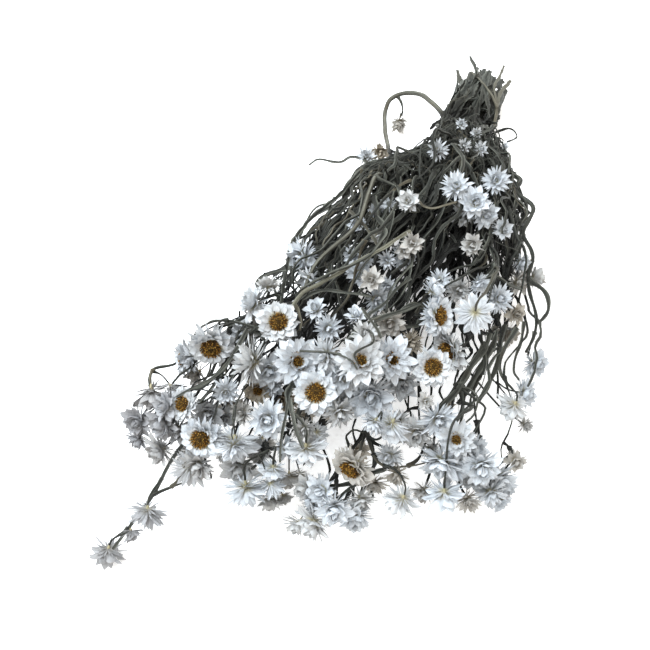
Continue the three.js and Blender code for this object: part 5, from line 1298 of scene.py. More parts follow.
def clear_neighbours(strands):
    """Moves strands and heads apart until they no longer touch.

    Each round, every two straight pieces, every two heads, and every head and piece that are too
    near push each other apart along the line between them, and what is too low is pushed up. Each
    knot then moves by the sum of its pushes, and roots go back to their hosts.
    """
    counts = np.array([len(strand.knots) for strand in strands])
    first = np.concatenate([[0], np.cumsum(counts)[:-1]])
    place_of = {id(strand): number for number, strand in enumerate(strands)}
    knots = np.vstack([strand.knots for strand in strands])
    wide = np.concatenate([strand.half_widths() for strand in strands])
    resting = np.zeros(len(knots), bool)
    for start, strand in zip(first, strands):
        if strand.resting is not None:
            resting[start:start + len(strand.knots)] = strand.resting

    spray_of = np.array([strand.spray for strand in strands])
    has_root = np.array([strand.root is not None for strand in strands])
    near = np.concatenate([start + np.arange(count - 1) for start, count in zip(first, counts)])
    far = near + 1
    owner = np.repeat(np.arange(len(strands)), counts - 1)
    rooted = (near == first[owner]) & has_root[owner]
    one, two = np.triu_indices(len(near), 1)
    same = spray_of[owner[one]] == spray_of[owner[two]]
    apart = (owner[one] != owner[two]) & ~(same & (rooted[one] | rooted[two]))
    one, two = one[apart], two[apart]

    stalks = np.array([number for number, strand in enumerate(strands) if strand.head])
    base = first[stalks] + counts[stalks] - 1
    carriers = [strands[number] for number in stalks]
    axis, size_of = head_values(carriers, "axis"), head_values(carriers, "width")
    head_one, head_two = np.triu_indices(len(stalks), 1)
    head_of, piece_of = np.divmod(np.arange(len(stalks) * len(near)), len(near))
    meets = stalks[head_of] != owner[piece_of]
    meets &= ~((spray_of[stalks[head_of]] == spray_of[owner[piece_of]]) & rooted[piece_of])
    head_of, piece_of = head_of[meets], piece_of[meets]

    def ties_on(kinds):
        """Ties of the strands whose host is of these kinds, as arrays."""
        held = [n for n, strand in enumerate(strands) if strand.root and strand.root[0].kind in kinds]
        past = [first[place_of[id(strands[n].root[0])]] + strands[n].root[1] for n in held]
        return first[held], np.array(past), np.array([strands[n].root[2] for n in held])

    ties = [ties_on({"main"}), ties_on({"branch", "shoot"})]

    def room_of(heads, way):
        """How far heads reach along directions: the radius there of a ball squashed along their axis."""
        turned = np.abs((way * axis[heads]).sum(1))
        flat = np.sqrt(np.maximum(1 - turned * turned, 0)) / (HEAD_CLEAR_RADIUS * size_of[heads])
        return 1 / np.hypot(flat, turned / (HEAD_CLEAR_HEIGHT * size_of[heads]))

    for _ in range(CLEAR_ROUNDS):
        total = np.zeros_like(knots)
        pushes = np.zeros(len(knots))

        def push(where, way, size):
            """Adds moves of knots along directions, where their size is over zero."""
            on = size > 0
            np.add.at(total, where[on], way[on] * size[on, None])
            np.add.at(pushes, where[on], 1)

        def push_head(heads, way, size):
            """Adds moves of both knots of the straight end that carries a head."""
            push(base[heads], way, size)
            push(base[heads] - 1, way, size)

        middle = (knots[near] + knots[far]) / 2
        half = np.linalg.norm(knots[far] - knots[near], axis=1) / 2
        need = wide[near[one]] + wide[near[two]] + CLEAR_GAP
        between = middle[one] - middle[two]
        close = (np.abs(between[:, 0]) <= CLEAR_REACH) & (np.abs(between[:, 1]) <= CLEAR_REACH)
        close &= (between * between).sum(1) < (half[one] + half[two] + need) ** 2
        p, q, need = one[close], two[close], need[close]
        a, b, c, d = knots[near[p]], knots[far[p]], knots[near[q]], knots[far[q]]
        s, t = nearest_shares(a, b, c, d)
        way = a + (b - a) * s[:, None] - c - (d - c) * t[:, None]
        distance = np.linalg.norm(way, axis=1)
        way = np.where(distance[:, None] < 0.05, UP, way / np.maximum(distance, 1e-9)[:, None])
        size = (need - distance) / 2
        push(near[p], way, size * (1 - s))
        push(far[p], way, size * s)
        push(near[q], -way, size * (1 - t))
        push(far[q], -way, size * t)

        centre = knots[base] + axis * ((HEAD_BASE + HEAD_MIDDLE) * size_of)[:, None]
        way = centre[head_one] - centre[head_two]
        distance = np.maximum(np.linalg.norm(way, axis=1), 1e-6)
        way /= distance[:, None]
        size = (room_of(head_one, way) + room_of(head_two, way) + CLEAR_GAP - distance) / 2
        push_head(head_one, way, size)
        push_head(head_two, -way, size)

        # A head is squashed along its axis, so its gap to a piece is measured with that undone.
        squash = HEAD_CLEAR_HEIGHT / HEAD_CLEAR_RADIUS
        reach = HEAD_CLEAR_RADIUS * size_of[head_of] + wide[near[piece_of]] + CLEAR_GAP
        between = middle[piece_of] - centre[head_of]
        close = (between * between).sum(1) < (half[piece_of] + reach) ** 2
        h, p, reach = head_of[close], piece_of[close], reach[close]

        def unsquash(points):
            """Points from the middle of their head, stretched along its axis until it is a ball."""
            from_head = points - centre[h]
            height = (from_head * axis[h]).sum(1, keepdims=True)
            return from_head + axis[h] * height * (1 / squash - 1)

        start = unsquash(knots[near[p]])
        step = unsquash(knots[far[p]]) - start
        share = np.clip(-(start * step).sum(1) / np.maximum((step * step).sum(1), 1e-9), 0, 1)
        way = start + step * share[:, None]
        size = reach - np.linalg.norm(way, axis=1)
        way = unit(way + axis[h] * (way * axis[h]).sum(1, keepdims=True) * (squash - 1))
        push(near[p], way, size * (1 - HEAD_YIELD) * (1 - share))
        push(far[p], way, size * (1 - HEAD_YIELD) * share)
        push_head(h, -way, size * HEAD_YIELD)

        drop = np.sqrt(1 - axis[:, 2] ** 2) * HEAD_CLEAR_RADIUS
        room = np.maximum(drop, HEAD_CLEAR_HEIGHT) * size_of
        push_head(np.arange(len(stalks)), np.tile(UP, (len(stalks), 1)), room + FLOOR_GAP - centre[:, 2])
        low = np.where(resting, 0.0, wide + FLOOR_GAP - knots[:, 2])
        push(np.arange(len(knots)), np.tile(UP, (len(knots), 1)), low)

        knots += total / np.maximum(1, pushes * CLEAR_EASE)[:, None]
        knots[resting, 2] = wide[resting] * MAIN_FLATNESS * REST_SHARE
        for held, past, share in ties:
            knots[held] = knots[past - 1] + share[:, None] * (knots[past] - knots[past - 1])

    for start, strand in zip(first, strands):
        strand.knots = knots[start:start + len(strand.knots)] - MIDDLE


# Curves of the strands


def side_at_knots(strand, seed):
    """Directions of a strand's broad side at its knots: turned a little at each, never along it."""
    steps = unit(np.diff(strand.knots, axis=0))
    ways = unit(np.vstack([steps[:1], steps[:-1] + steps[1:], steps[-1:]]))
    lying = strand.resting is not None and strand.resting.any()
    most = THIN_ROLL * (CALM_ROLL if strand.calm else 1)
    if strand.kind in ("main", "smooth"):
        most = MAIN_ROLL
    roll = 0.0 if lying else stray(seed + 3) * most
    side = np.array([np.cos(roll), 0, np.sin(roll)])
    sides = []
    for number, way in enumerate(ways):
        side = side - way * side.dot(way)
        if side.dot(side) < 1e-4:
            side = UP - way * way[2]
        if lying and strand.resting[number]:
            side[2] = 0
        else:
            turn = stray(seed + number) * KNOT_TWIST
            side = side * np.cos(turn) + np.cross(way, side) * np.sin(turn)
        side = side / np.linalg.norm(side)
        sides.append(side)
    return np.array(sides)


def draw_curve(strand, seed):
    """Gives a strand its curve: rings of it, their lengths along it and their broad sides.

    Between knots it is the cubic that has the knots' mean slopes. Each ring is then the mean of its
    neighbours, weighted by a bell curve that narrows to nothing at the ends, and gets back the same
    mean of what that took away, so that wide bends stay. Two sine waves of different length shift
    it sideways and fade at its ends. Its root stays on its host's curve.
    """
    if strand.root:
        host, knot, share = strand.root
        knot_lengths = host.lengths()
        at = knot_lengths[knot - 1] + share * (knot_lengths[knot] - knot_lengths[knot - 1])
        at *= host.ring_lengths[-1] / knot_lengths[-1]
        strand.knots[0] = along_rows(at, host.ring_lengths, host.curve)
    lengths = strand.lengths()
    slopes = np.gradient(strand.knots, lengths, axis=0)
    place = np.linspace(strand.trim, lengths[-1], RINGS[strand.kind])
    k = np.clip(np.searchsorted(lengths, place, side="right") - 1, 0, len(lengths) - 2)
    step = (lengths[k + 1] - lengths[k])[:, None]
    t = (place - lengths[k])[:, None] / step
    curve = (2 * t**3 - 3 * t**2 + 1) * strand.knots[k] + (t**3 - 2 * t**2 + t) * step * slopes[k]
    curve += (3 * t**2 - 2 * t**3) * strand.knots[k + 1] + (t**3 - t**2) * step * slopes[k + 1]
    reach = np.minimum(RELAX[strand.kind], np.minimum(place - place[0], place[-1] - place) / 2) + 1e-3
    weights = np.exp(-(((place[:, None] - place) / reach[:, None]) ** 2) / 2)
    weights /= weights.sum(1, keepdims=True)
    smooth = weights @ curve
    curve = smooth + weights @ (curve - smooth)
    fade = np.clip(place / WAVE_FADE, 0, 1) * np.clip((lengths[-1] - place) / WAVE_FADE, 0, 1)
    for number, (size, length) in enumerate(WAVES[strand.kind]):
        way = unit(stray(seed + number * 5 + np.arange(1, 4)))
        size *= CALM_WAVES if strand.calm else 1.0
        curve += (fade * size * wave(place, length, seed + number))[:, None] * way
    sides = side_at_knots(strand, seed)
    strand.curve = curve
    strand.ring_lengths = place
    strand.sides = along_rows(place, lengths, sides)


def tendril(strand, number, turn, reach):
    """Thin shoot that leaves a main stem and winds through the bunch beside it.

    Its knots are points of the main stem, moved aside by the cosine and up by the sine of an angle
    that turns evenly, both times a swing that grows as the square root of the way, plus a random shift.
    """
    seed = number * 211 + turn * 37 + 11
    whole = strand.lengths()[-1]
    start = whole * (max(TENDRIL_FROM, SPRAYS[number].get("bare", 0.0)) + reach * chance(seed))
    end = start + whole * (TENDRIL_LENGTH + TENDRIL_LENGTH_RANGE * chance(seed + 1))
    root = strand.tie(start)
    share = np.linspace(0, 1, TENDRIL_STEPS)
    step = np.arange(TENDRIL_STEPS)
    knots = strand.along(start + share * (end - start))
    turned = 2 * np.pi * (chance(seed + 2) + share * TENDRIL_TURNS * (chance(seed + 3) * 2 - 1))
    size = TENDRIL_SWING_LEAST + (1 - TENDRIL_SWING_LEAST) * chance(seed + 4)
    swing = np.sqrt(share) * TENDRIL_SWING * size
    aside = swing * np.cos(turned)
    if "edge" in SPRAYS[number]:
        aside = np.abs(aside) * np.sign(NECK_MIDDLE_X - knots[-1, 0])
    knots[:, 0] += aside
    knots[:, 2] += swing * np.sin(turned) * TENDRIL_RISE
    loose = TENDRIL_LOOSE * np.sqrt(share)
    knots += stray(seed + step[:, None] * 3 + np.arange(6, 9)) * loose[:, None]
    knots = keep_in_heap(knots, TENDRIL_SPREAD)
    return Strand(number, "tendril", knots, root)


def curl(strand, number, turn):
    """Fine shoot that leaves a main stem, climbs to the top of the tangle and winds over it.

    Its heading starts at random and turns by a random amount at each step, and each knot is the
    running sum of the steps. It climbs to the heap's top there as a power of the steps taken.
    """
    seed = number * 173 + turn * 29 + 7
    whole = strand.lengths()[-1]
    bare = SPRAYS[number].get("bare", 0.0)
    start = whole * (max(CURL_FROM, bare) + CURL_RANGE * (1 - bare) * chance(seed))
    root = strand.tie(start)
    step = np.arange(CURL_STEPS)
    ahead = strand.along(start + CURL_AHEAD) - strand.along(start)
    heading = np.arctan2(ahead[1], ahead[0]) + stray(seed + 1) * CURL_HEADINGS
    turns = stray(seed + 2 + step) * CURL_TURN + stray(seed + 20) * CURL_BEND
    heading = heading + np.cumsum(turns)
    knots = np.tile(strand.along(start), (CURL_STEPS, 1))
    knots[1:, 0] += np.cumsum(np.cos(heading[1:])) * CURL_STEP
    knots[1:, 1] += np.cumsum(np.sin(heading[1:])) * CURL_STEP
    tops = heap_tops(knots[:, 0] + MIDDLE[0], knots[:, 1] + MIDDLE[1])
    tops = tops * (CURL_HEIGHT + CURL_HEIGHT_RANGE * chance(seed + 40 + step))
    climb = np.clip(step / CURL_CLIMB_STEPS, 0, 1) ** CURL_CLIMB_POWER
    knots[:, 2] += (tops - knots[:, 2]) * climb
    knots[:, 1] = knots[0, 1] - np.abs(knots[:, 1] - knots[0, 1])
    kept = keep_in_heap(knots, CURL_SPREAD, CURL_TOP)
    kept[:, 2] = np.maximum(kept[:, 2], knots[0, 2] * CURL_DROP)
    kept = keep_in_view(kept)
    kept[0] = knots[0]
    return Strand(number, "curl", kept, root)


def blade(strand, number, turn):
    """Torn wing or strip beside a main stem, in the neck or farther along it.

    Its knots are points of the main stem, all moved by one random shift and each by one of its own.
    """
    seed = number * 307 + turn * 41 + 23
    whole = strand.lengths()[-1]
    bare = SPRAYS[number].get("bare", 0.0)
    in_neck = turn < NECK_BLADES
    if in_neck:
        start = strand.trim + NECK_BLADE_FROM + NECK_BLADE_RANGE * chance(seed)
        end = start + (NECK_BLADE_LENGTH + NECK_BLADE_LENGTH_RANGE * chance(seed + 1))
    else:
        start = whole * (max(BLADE_FROM, bare) + BLADE_RANGE * (1 - bare) * chance(seed))
        end = start + whole * (BLADE_LENGTH + BLADE_LENGTH_RANGE * chance(seed + 1))
    if in_neck and strand.calm:
        end = min(end, NECK_LENGTH)
    share = np.linspace(0, 1, BLADE_KNOTS)
    knots = strand.along(start + share * (min(end, whole) - start))
    apart = NECK_BLADE_APART if in_neck else BLADE_APART
    step = np.arange(BLADE_KNOTS)[:, None] * 3 + np.arange(3)
    knots += stray(seed + 2 + np.arange(3)) * BLADE_SHIFT * apart
    knots += stray(seed + 5 + step) * apart * BLADE_LOOSE
    return Strand(number, "blade", keep_in_heap(knots, TENDRIL_SPREAD))


def wrap(strand, number, turn):
    """Broad withered strip that lies on the neck, a little across the stems.

    Its knots are points of the main stem, moved aside by a slant times the way along and raised by
    a random height.
    """
    seed = number * 401 + turn * 59 + 31
    start = strand.trim + WRAP_START + WRAP_RANGE * chance(seed)
    share = np.linspace(0, 1, WRAP_KNOTS)
    knots = strand.along(start + share * WRAP_LENGTH)
    slant = (share - 0.5) * WRAP_SLANT * stray(seed + 1)
    knots[:, 0] += slant + WRAP_SHIFT * stray(seed + 2)
    loose = stray(seed + 4 + np.arange(WRAP_KNOTS)) * WRAP_SHIFT
    knots[:, 2] += WRAP_SHIFT * chance(seed + 3) + loose
    return Strand(number, "blade", knots, calm=True)


def litter(strand, number, turn):
    """Broad dark wing that lies low in the bunch, under the stems.

    Its knots are points of the main stem, moved aside by a random shift and a slant times the way
    along, at one share of the heap's height there.
    """
    seed = number * 503 + turn * 67 + 29
    whole = strand.lengths()[-1]
    bare = max(LITTER_FROM, SPRAYS[number].get("bare", 0.0))
    start = whole * (bare + (SPRAYS[number].get("litter", LITTER_TO) - bare) * chance(seed))
    length = LITTER_LENGTH * (LITTER_SHARE + LITTER_SHARE_RANGE * chance(seed + 1))
    share = np.linspace(0, 1, LITTER_KNOTS)
    knots = strand.along(start + share * length)
    slant = (share - 0.5) * LITTER_SLANT * stray(seed + 3)
    knots[:, 0] += stray(seed + 2) * LITTER_APART + slant
    tops = heap_tops(knots[:, 0] + MIDDLE[0], knots[:, 1] + MIDDLE[1])
    knots[:, 2] = tops * (LITTER_HEIGHT + LITTER_HEIGHT_RANGE * chance(seed + 4))
    return Strand(number, "litter", keep_in_heap(knots, LITTER_SPREAD))


def keep_in_view(knots):
    """Knots moved sideways until none is seen outside the outline of the bunch."""
    from_eye = knots + MIDDLE - EYE
    depth = -from_eye @ EYE_BACK
    right, down = from_eye @ EYE_RIGHT / depth, -from_eye @ EYE_UP / depth
    u, v = PICTURE_MIDDLE + EYE_FOCUS * right, PICTURE_MIDDLE + EYE_FOCUS * down
    low = np.interp(v, *np.transpose(LEFT_EDGE))
    high = np.interp(v, *np.transpose(RIGHT_EDGE))
    return knots + EYE_RIGHT * ((np.clip(u, low, high) - u) * depth / EYE_FOCUS)[:, None]


def keep_in_heap(knots, spread, top=TENDRIL_TOP):
    """Knots drawn in to a share of the heap's width and under a share of its top."""
    middle, half = (np.interp(knots[:, 1] + MIDDLE[1], HEAP[:, 0], HEAP[:, column]) for column in (2, 3))
    middle = middle - MIDDLE[0]
    kept = knots.copy()
    kept[:, 0] = np.clip(knots[:, 0], middle - spread * half, middle + spread * half)
    tops = heap_tops(kept[:, 0] + MIDDLE[0], kept[:, 1] + MIDDLE[1])
    kept[:, 2] = np.clip(knots[:, 2], KNOT_LOWEST, np.maximum(tops * top, KNOT_TOP_LEAST))
    return keep_in_view(kept)


# Meshes


def tube_faces(count, rings, around):
    """Faces of closed tubes, each a grid of rings by points around and a pole at either end.

    A tube's points are its rings in turn, then its first and its last pole.
    """
    ring, point = np.meshgrid(np.arange(rings - 1), np.arange(around), indexing="ij")
    after = (point + 1) % around
    corners = [ring * around + point, ring * around + after]
    corners += [(ring + 1) * around + after, (ring + 1) * around + point]
    quads = np.stack(corners, -1).reshape(-1, 4)
    point = np.arange(around)
    after = (point + 1) % around
    last = (rings - 1) * around
    first_fan = np.stack([np.full(around, rings * around), after, point], -1)
    last_fan = np.stack([np.full(around, rings * around + 1), last + point, last + after], -1)
    start = (np.arange(count) * (rings * around + 2))[:, None, None]
    triangles = np.vstack([first_fan, last_fan])
    return (quads + start).reshape(-1, 4), (triangles + start).reshape(-1, 3)


def closed_tubes(rings, first, last, **values):
    """Points, faces and point values of closed tubes.

    rings is an array of tubes by rings by points around by XYZ, and first and last are the poles.
    A value is given as an array that fits tubes by rings by points around, and each pole takes the
    mean of the ring next to it.
    """
    count, steps, around, _ = rings.shape
    points = np.concatenate([rings.reshape(count, -1, 3), first[:, None], last[:, None]], 1)
    held = {}
    for name, value in values.items():
        value = np.broadcast_to(value, (count, steps, around)).astype(float)
        ends = np.stack([value[:, 0].mean(1), value[:, -1].mean(1)], 1)
        held[name] = np.concatenate([value.reshape(count, -1), ends], 1).ravel()
    quads, triangles = tube_faces(count, steps, around)
    return points.reshape(-1, 3), quads, triangles, held


def join(parts):
    """Several sets of points, faces and values, as one."""
    shift, points, quads, triangles = 0, [], [], []
    for part in parts:
        points.append(part[0])
        quads.append(part[1] + shift)
        triangles.append(part[2] + shift)
        shift += len(part[0])
    names = parts[0][3]
    values = {name: np.concatenate([part[3][name] for part in parts]) for name in names}
    return np.vstack(points), np.vstack(quads), np.vstack(triangles), values


def add_piece(name, shape, material, node, sharp):
    """Object of a shape that stands for a packed spray, with its values as point attributes.

    Points under the floor are raised to it, and edges past the sharp angle stay crisp.
    """
    points, quads, triangles, values = shape
    points = np.maximum(points, [-np.inf, -np.inf, 0.0])
    mesh = bpy.data.meshes.new(name)
    mesh.from_pydata((points * MM).tolist(), [], quads.tolist() + triangles.tolist())
    for title, value in values.items():
        attribute = mesh.attributes.new(title, "FLOAT", "POINT")
        attribute.data.foreach_set("value", value.astype(np.float32))
    mesh.materials.append(material)
    mesh.shade_smooth()
    mesh.set_sharp_from_angle(angle=np.radians(sharp))
    piece = bpy.data.objects.new(name, mesh)
    bpy.context.collection.objects.link(piece)
    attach(piece, "root")
    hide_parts(node)
    return piece


def winged_section(place, seed):
    """Reach and angle of the points around a winged stem, for each of its rings.

    The reach is a round core and four thin wings, each a bell curve about its own angle. The two
    broad wings swell, shrink and tear along the stem as sums of sine waves.
    """
    quarter = np.radians(WING_ANGLES)
    angles = np.concatenate([quarter, np.pi - quarter[::-1], np.pi + quarter, 2 * np.pi - quarter[::-1]])
    thin = np.radians(WING_THIN)
    reaches = []
    for salt in (0, 40):
        reach = np.ones(len(place))
        for number, (size, length) in enumerate(WING_WAVES):
            reach += size * (wave(place, length, seed + salt + number) - 1)
        tear = wave(place, WING_TEAR_LENGTH, seed + salt + 7) ** 8
        reaches.append(reach - WING_TEAR * tear)
    across = np.cos(angles)
    broad = np.exp(-((np.arcsin(np.abs(np.sin(angles))) / thin) ** 2)) * WING_BROAD
    low = np.exp(-((np.arccos(np.abs(np.sin(angles))) / thin) ** 2))
    side = np.where(across > 0, np.array(reaches[0])[:, None], np.array(reaches[1])[:, None])
    reach = WING_CORE + (side - WING_CORE) * broad + (WING_LOW - WING_CORE) * low
    return angles, reach, np.clip(broad, 0, 1)


def blade_section(place, seed):
    """Reach and angle of the points around a blade: a thin lens that swells and tears along it.

    The lens is scaled by a sine wave, less a high power of another one where it is torn, and by a low
    power of half a sine that closes its ends.
    """
    angles = np.radians(BLADE_ANGLES)
    swell = 0.8 + 0.2 * wave(place, BLADE_SWELL_LENGTH, seed + 8)
    swell = swell * (1 - 0.3 * wave(place, BLADE_TEAR_LENGTH, seed + 9) ** 6)
    fade = np.sin(np.pi * np.linspace(0.06, 1, len(place)) ** 0.7) ** 0.4
    reach = (swell * fade)[:, None] * np.array(BLADE_REACH)
    return angles, reach, (np.abs(np.cos(angles)) > 0.99).astype(float)


def thin_section(place, seed, core=THIN_CORE, sides=THIN_SIDES):
    """Reach and angle of the points around a thin stem: a round core with two ridges that swell.

    A ridge is the fourth power of the cosine of the angle, times what a sine wave has over the core.
    """
    angles = np.arange(sides) / sides * 2 * np.pi
    swell = 0.86 + 0.14 * wave(place, THIN_SWELL_LENGTH, seed + 8)
    reach = core + (swell[:, None] - core) * np.abs(np.cos(angles)) ** 4
    return angles, reach, np.abs(np.cos(angles)) ** 6


def round_section(place, seed):
    """Reach and angle of the points around a stem with no wings: nearly a circle."""
    return thin_section(place, seed, SMOOTH_CORE, SMOOTH_SIDES)


SECTIONS = {
    "main": winged_section, "smooth": round_section, "blade": blade_section, "litter": blade_section,
}


def strand_shape(strands, seeds, widths=None):
    """Closed tubes along the curves of strands of one kind.

    Each ring lies across the curve: its points are the curve's point plus the section's reach times
    the half width, by the cosine of their angle to the broad side and by its sine over it. The deeper
    under the heap's top a ring lies, the more painted shade its value gives it.
    """
    kind = strands[0].kind
    start, end = widths or SEEN_WIDTHS[kind]
    rings, firsts, lasts, winged = [], [], [], []
    for strand, seed in zip(strands, seeds):
        curve, place = strand.curve, strand.ring_lengths
        ways = unit(np.gradient(curve, axis=0))
        side = unit(strand.sides - ways * (strand.sides * ways).sum(1, keepdims=True))
        over = np.cross(ways, side)
        section = SECTIONS.get(kind, thin_section)
        angles, reach, wing = section(place, seed)
        wide = np.linspace(start, end, len(place)) * strand.stout
        if strand.root:
            wide = wide * (1 + FORK_SWELL * np.exp(-((place / FORK_LENGTH) ** 2)))
        reach = reach * wide[:, None]
        ring = curve[:, None] + side[:, None] * (reach * np.cos(angles))[..., None]
        ring = ring + over[:, None] * (reach * np.sin(angles))[..., None]
        rings.append(ring)
        firsts.append(curve[0] - ways[0] * ROOT_CAP)
        lasts.append(curve[-1] + ways[-1] * TIP_CAP)
        winged.append(np.broadcast_to(wing, reach.shape))
    place = np.array([strand.ring_lengths for strand in strands])[:, :, None]
    tone = chance(np.array(seeds) * 1.7 + 5)[:, None, None]
    across = np.cos(angles)[None, None, :]
    curves = np.array([strand.curve for strand in strands]) + MIDDLE
    tops = heap_tops(curves[..., 0], curves[..., 1])
    # Painted shade: the deeper a ring lies under the heap's top, the darker it is drawn.
    deep = np.clip((tops - curves[..., 2]) / DEPTH_DARK, 0, 1)
    deep = (deep * np.interp(curves[..., 1], *NECK_PALE))[..., None]
    return closed_tubes(
        np.array(rings), np.array(firsts), np.array(lasts),
        run=place, across=across, wing=np.array(winged), tone=tone, deep=deep,
    )


def add_twin(strand):
    """Smaller head beside a head, on a twig that leaves the same stalk.

    Its middle lies across the head's axis, on the outer side, by a share of each width, and its axis
    is the head's plus a share of that way and a random shift.
    """
    head = strand.head
    seed = head["seed"] + 777
    width = head["width"] * (TWIN_WIDTH + TWIN_WIDTH_RANGE * chance(seed))
    axis = head["axis"]
    right = unit(np.cross(axis, unit(stray(seed + np.arange(1, 4)))))
    if right[0] * strand.knots[-1][0] > 0:
        right = -right
    lean = right * (TWIN_LEAN + TWIN_LEAN_RANGE * chance(seed + 4))
    turned = unit(axis + lean + stray(seed + np.arange(5, 8)) * TWIN_LOOSE)
    lengths = strand.lengths()
    root = strand.tie(max(lengths[-1] - TWIN_BACK, lengths[1] * 0.5))
    along = TWIN_ALONG_RANGE * chance(seed + 8) + TWIN_ALONG
    middle = strand.knots[-1] + axis * (head["width"] * along)
    middle = middle + right * (head["width"] * TWIN_APART + width * TWIN_OWN_APART)
    base = middle - turned * (HEAD_BASE * width)
    base[2] = max(base[2], TWIN_LOWEST * width)
    start = tied_place(root)
    bend = (start + base) / 2 + right * TWIG_ASIDE - turned * TWIG_BEND
    knots = np.array([start, bend, base - turned * TWIG_END, base])
    held = {**head, "axis": turned, "width": width, "seed": seed, "bare": 0.0}
    held["open"] = TWIN_OPEN + TWIN_OPEN_RANGE * chance(seed + 9)
    return Strand(strand.spray, "twig", knots, root, head=held)


def head_kinds(heads):
    """Kind of each head, as a number: 0 broad bracts, 1 narrow ones, 2 an open disc."""
    bare = head_values(heads, "bare")
    narrow = np.array([chance(strand.head["seed"] + 17) < NARROW_SHARE for strand in heads])
    return np.where(bare > 0, 2, np.where(narrow, 1, 0))


def head_frames(heads):
    """Right, up and axis of each head, and the middle of its receptacle."""
    axis = head_values(heads, "axis")
    right = np.cross(UP, axis)
    right = np.where((right * right).sum(1, keepdims=True) < 0.01, [1.0, 0, 0], right)
    right = unit(right)
    width = head_values(heads, "width") * HEAD_SCALE
    root = np.array([strand.curve[-1] for strand in heads]) + axis * (HEAD_BASE * width)[:, None]
    return right, np.cross(axis, right), axis, width, root


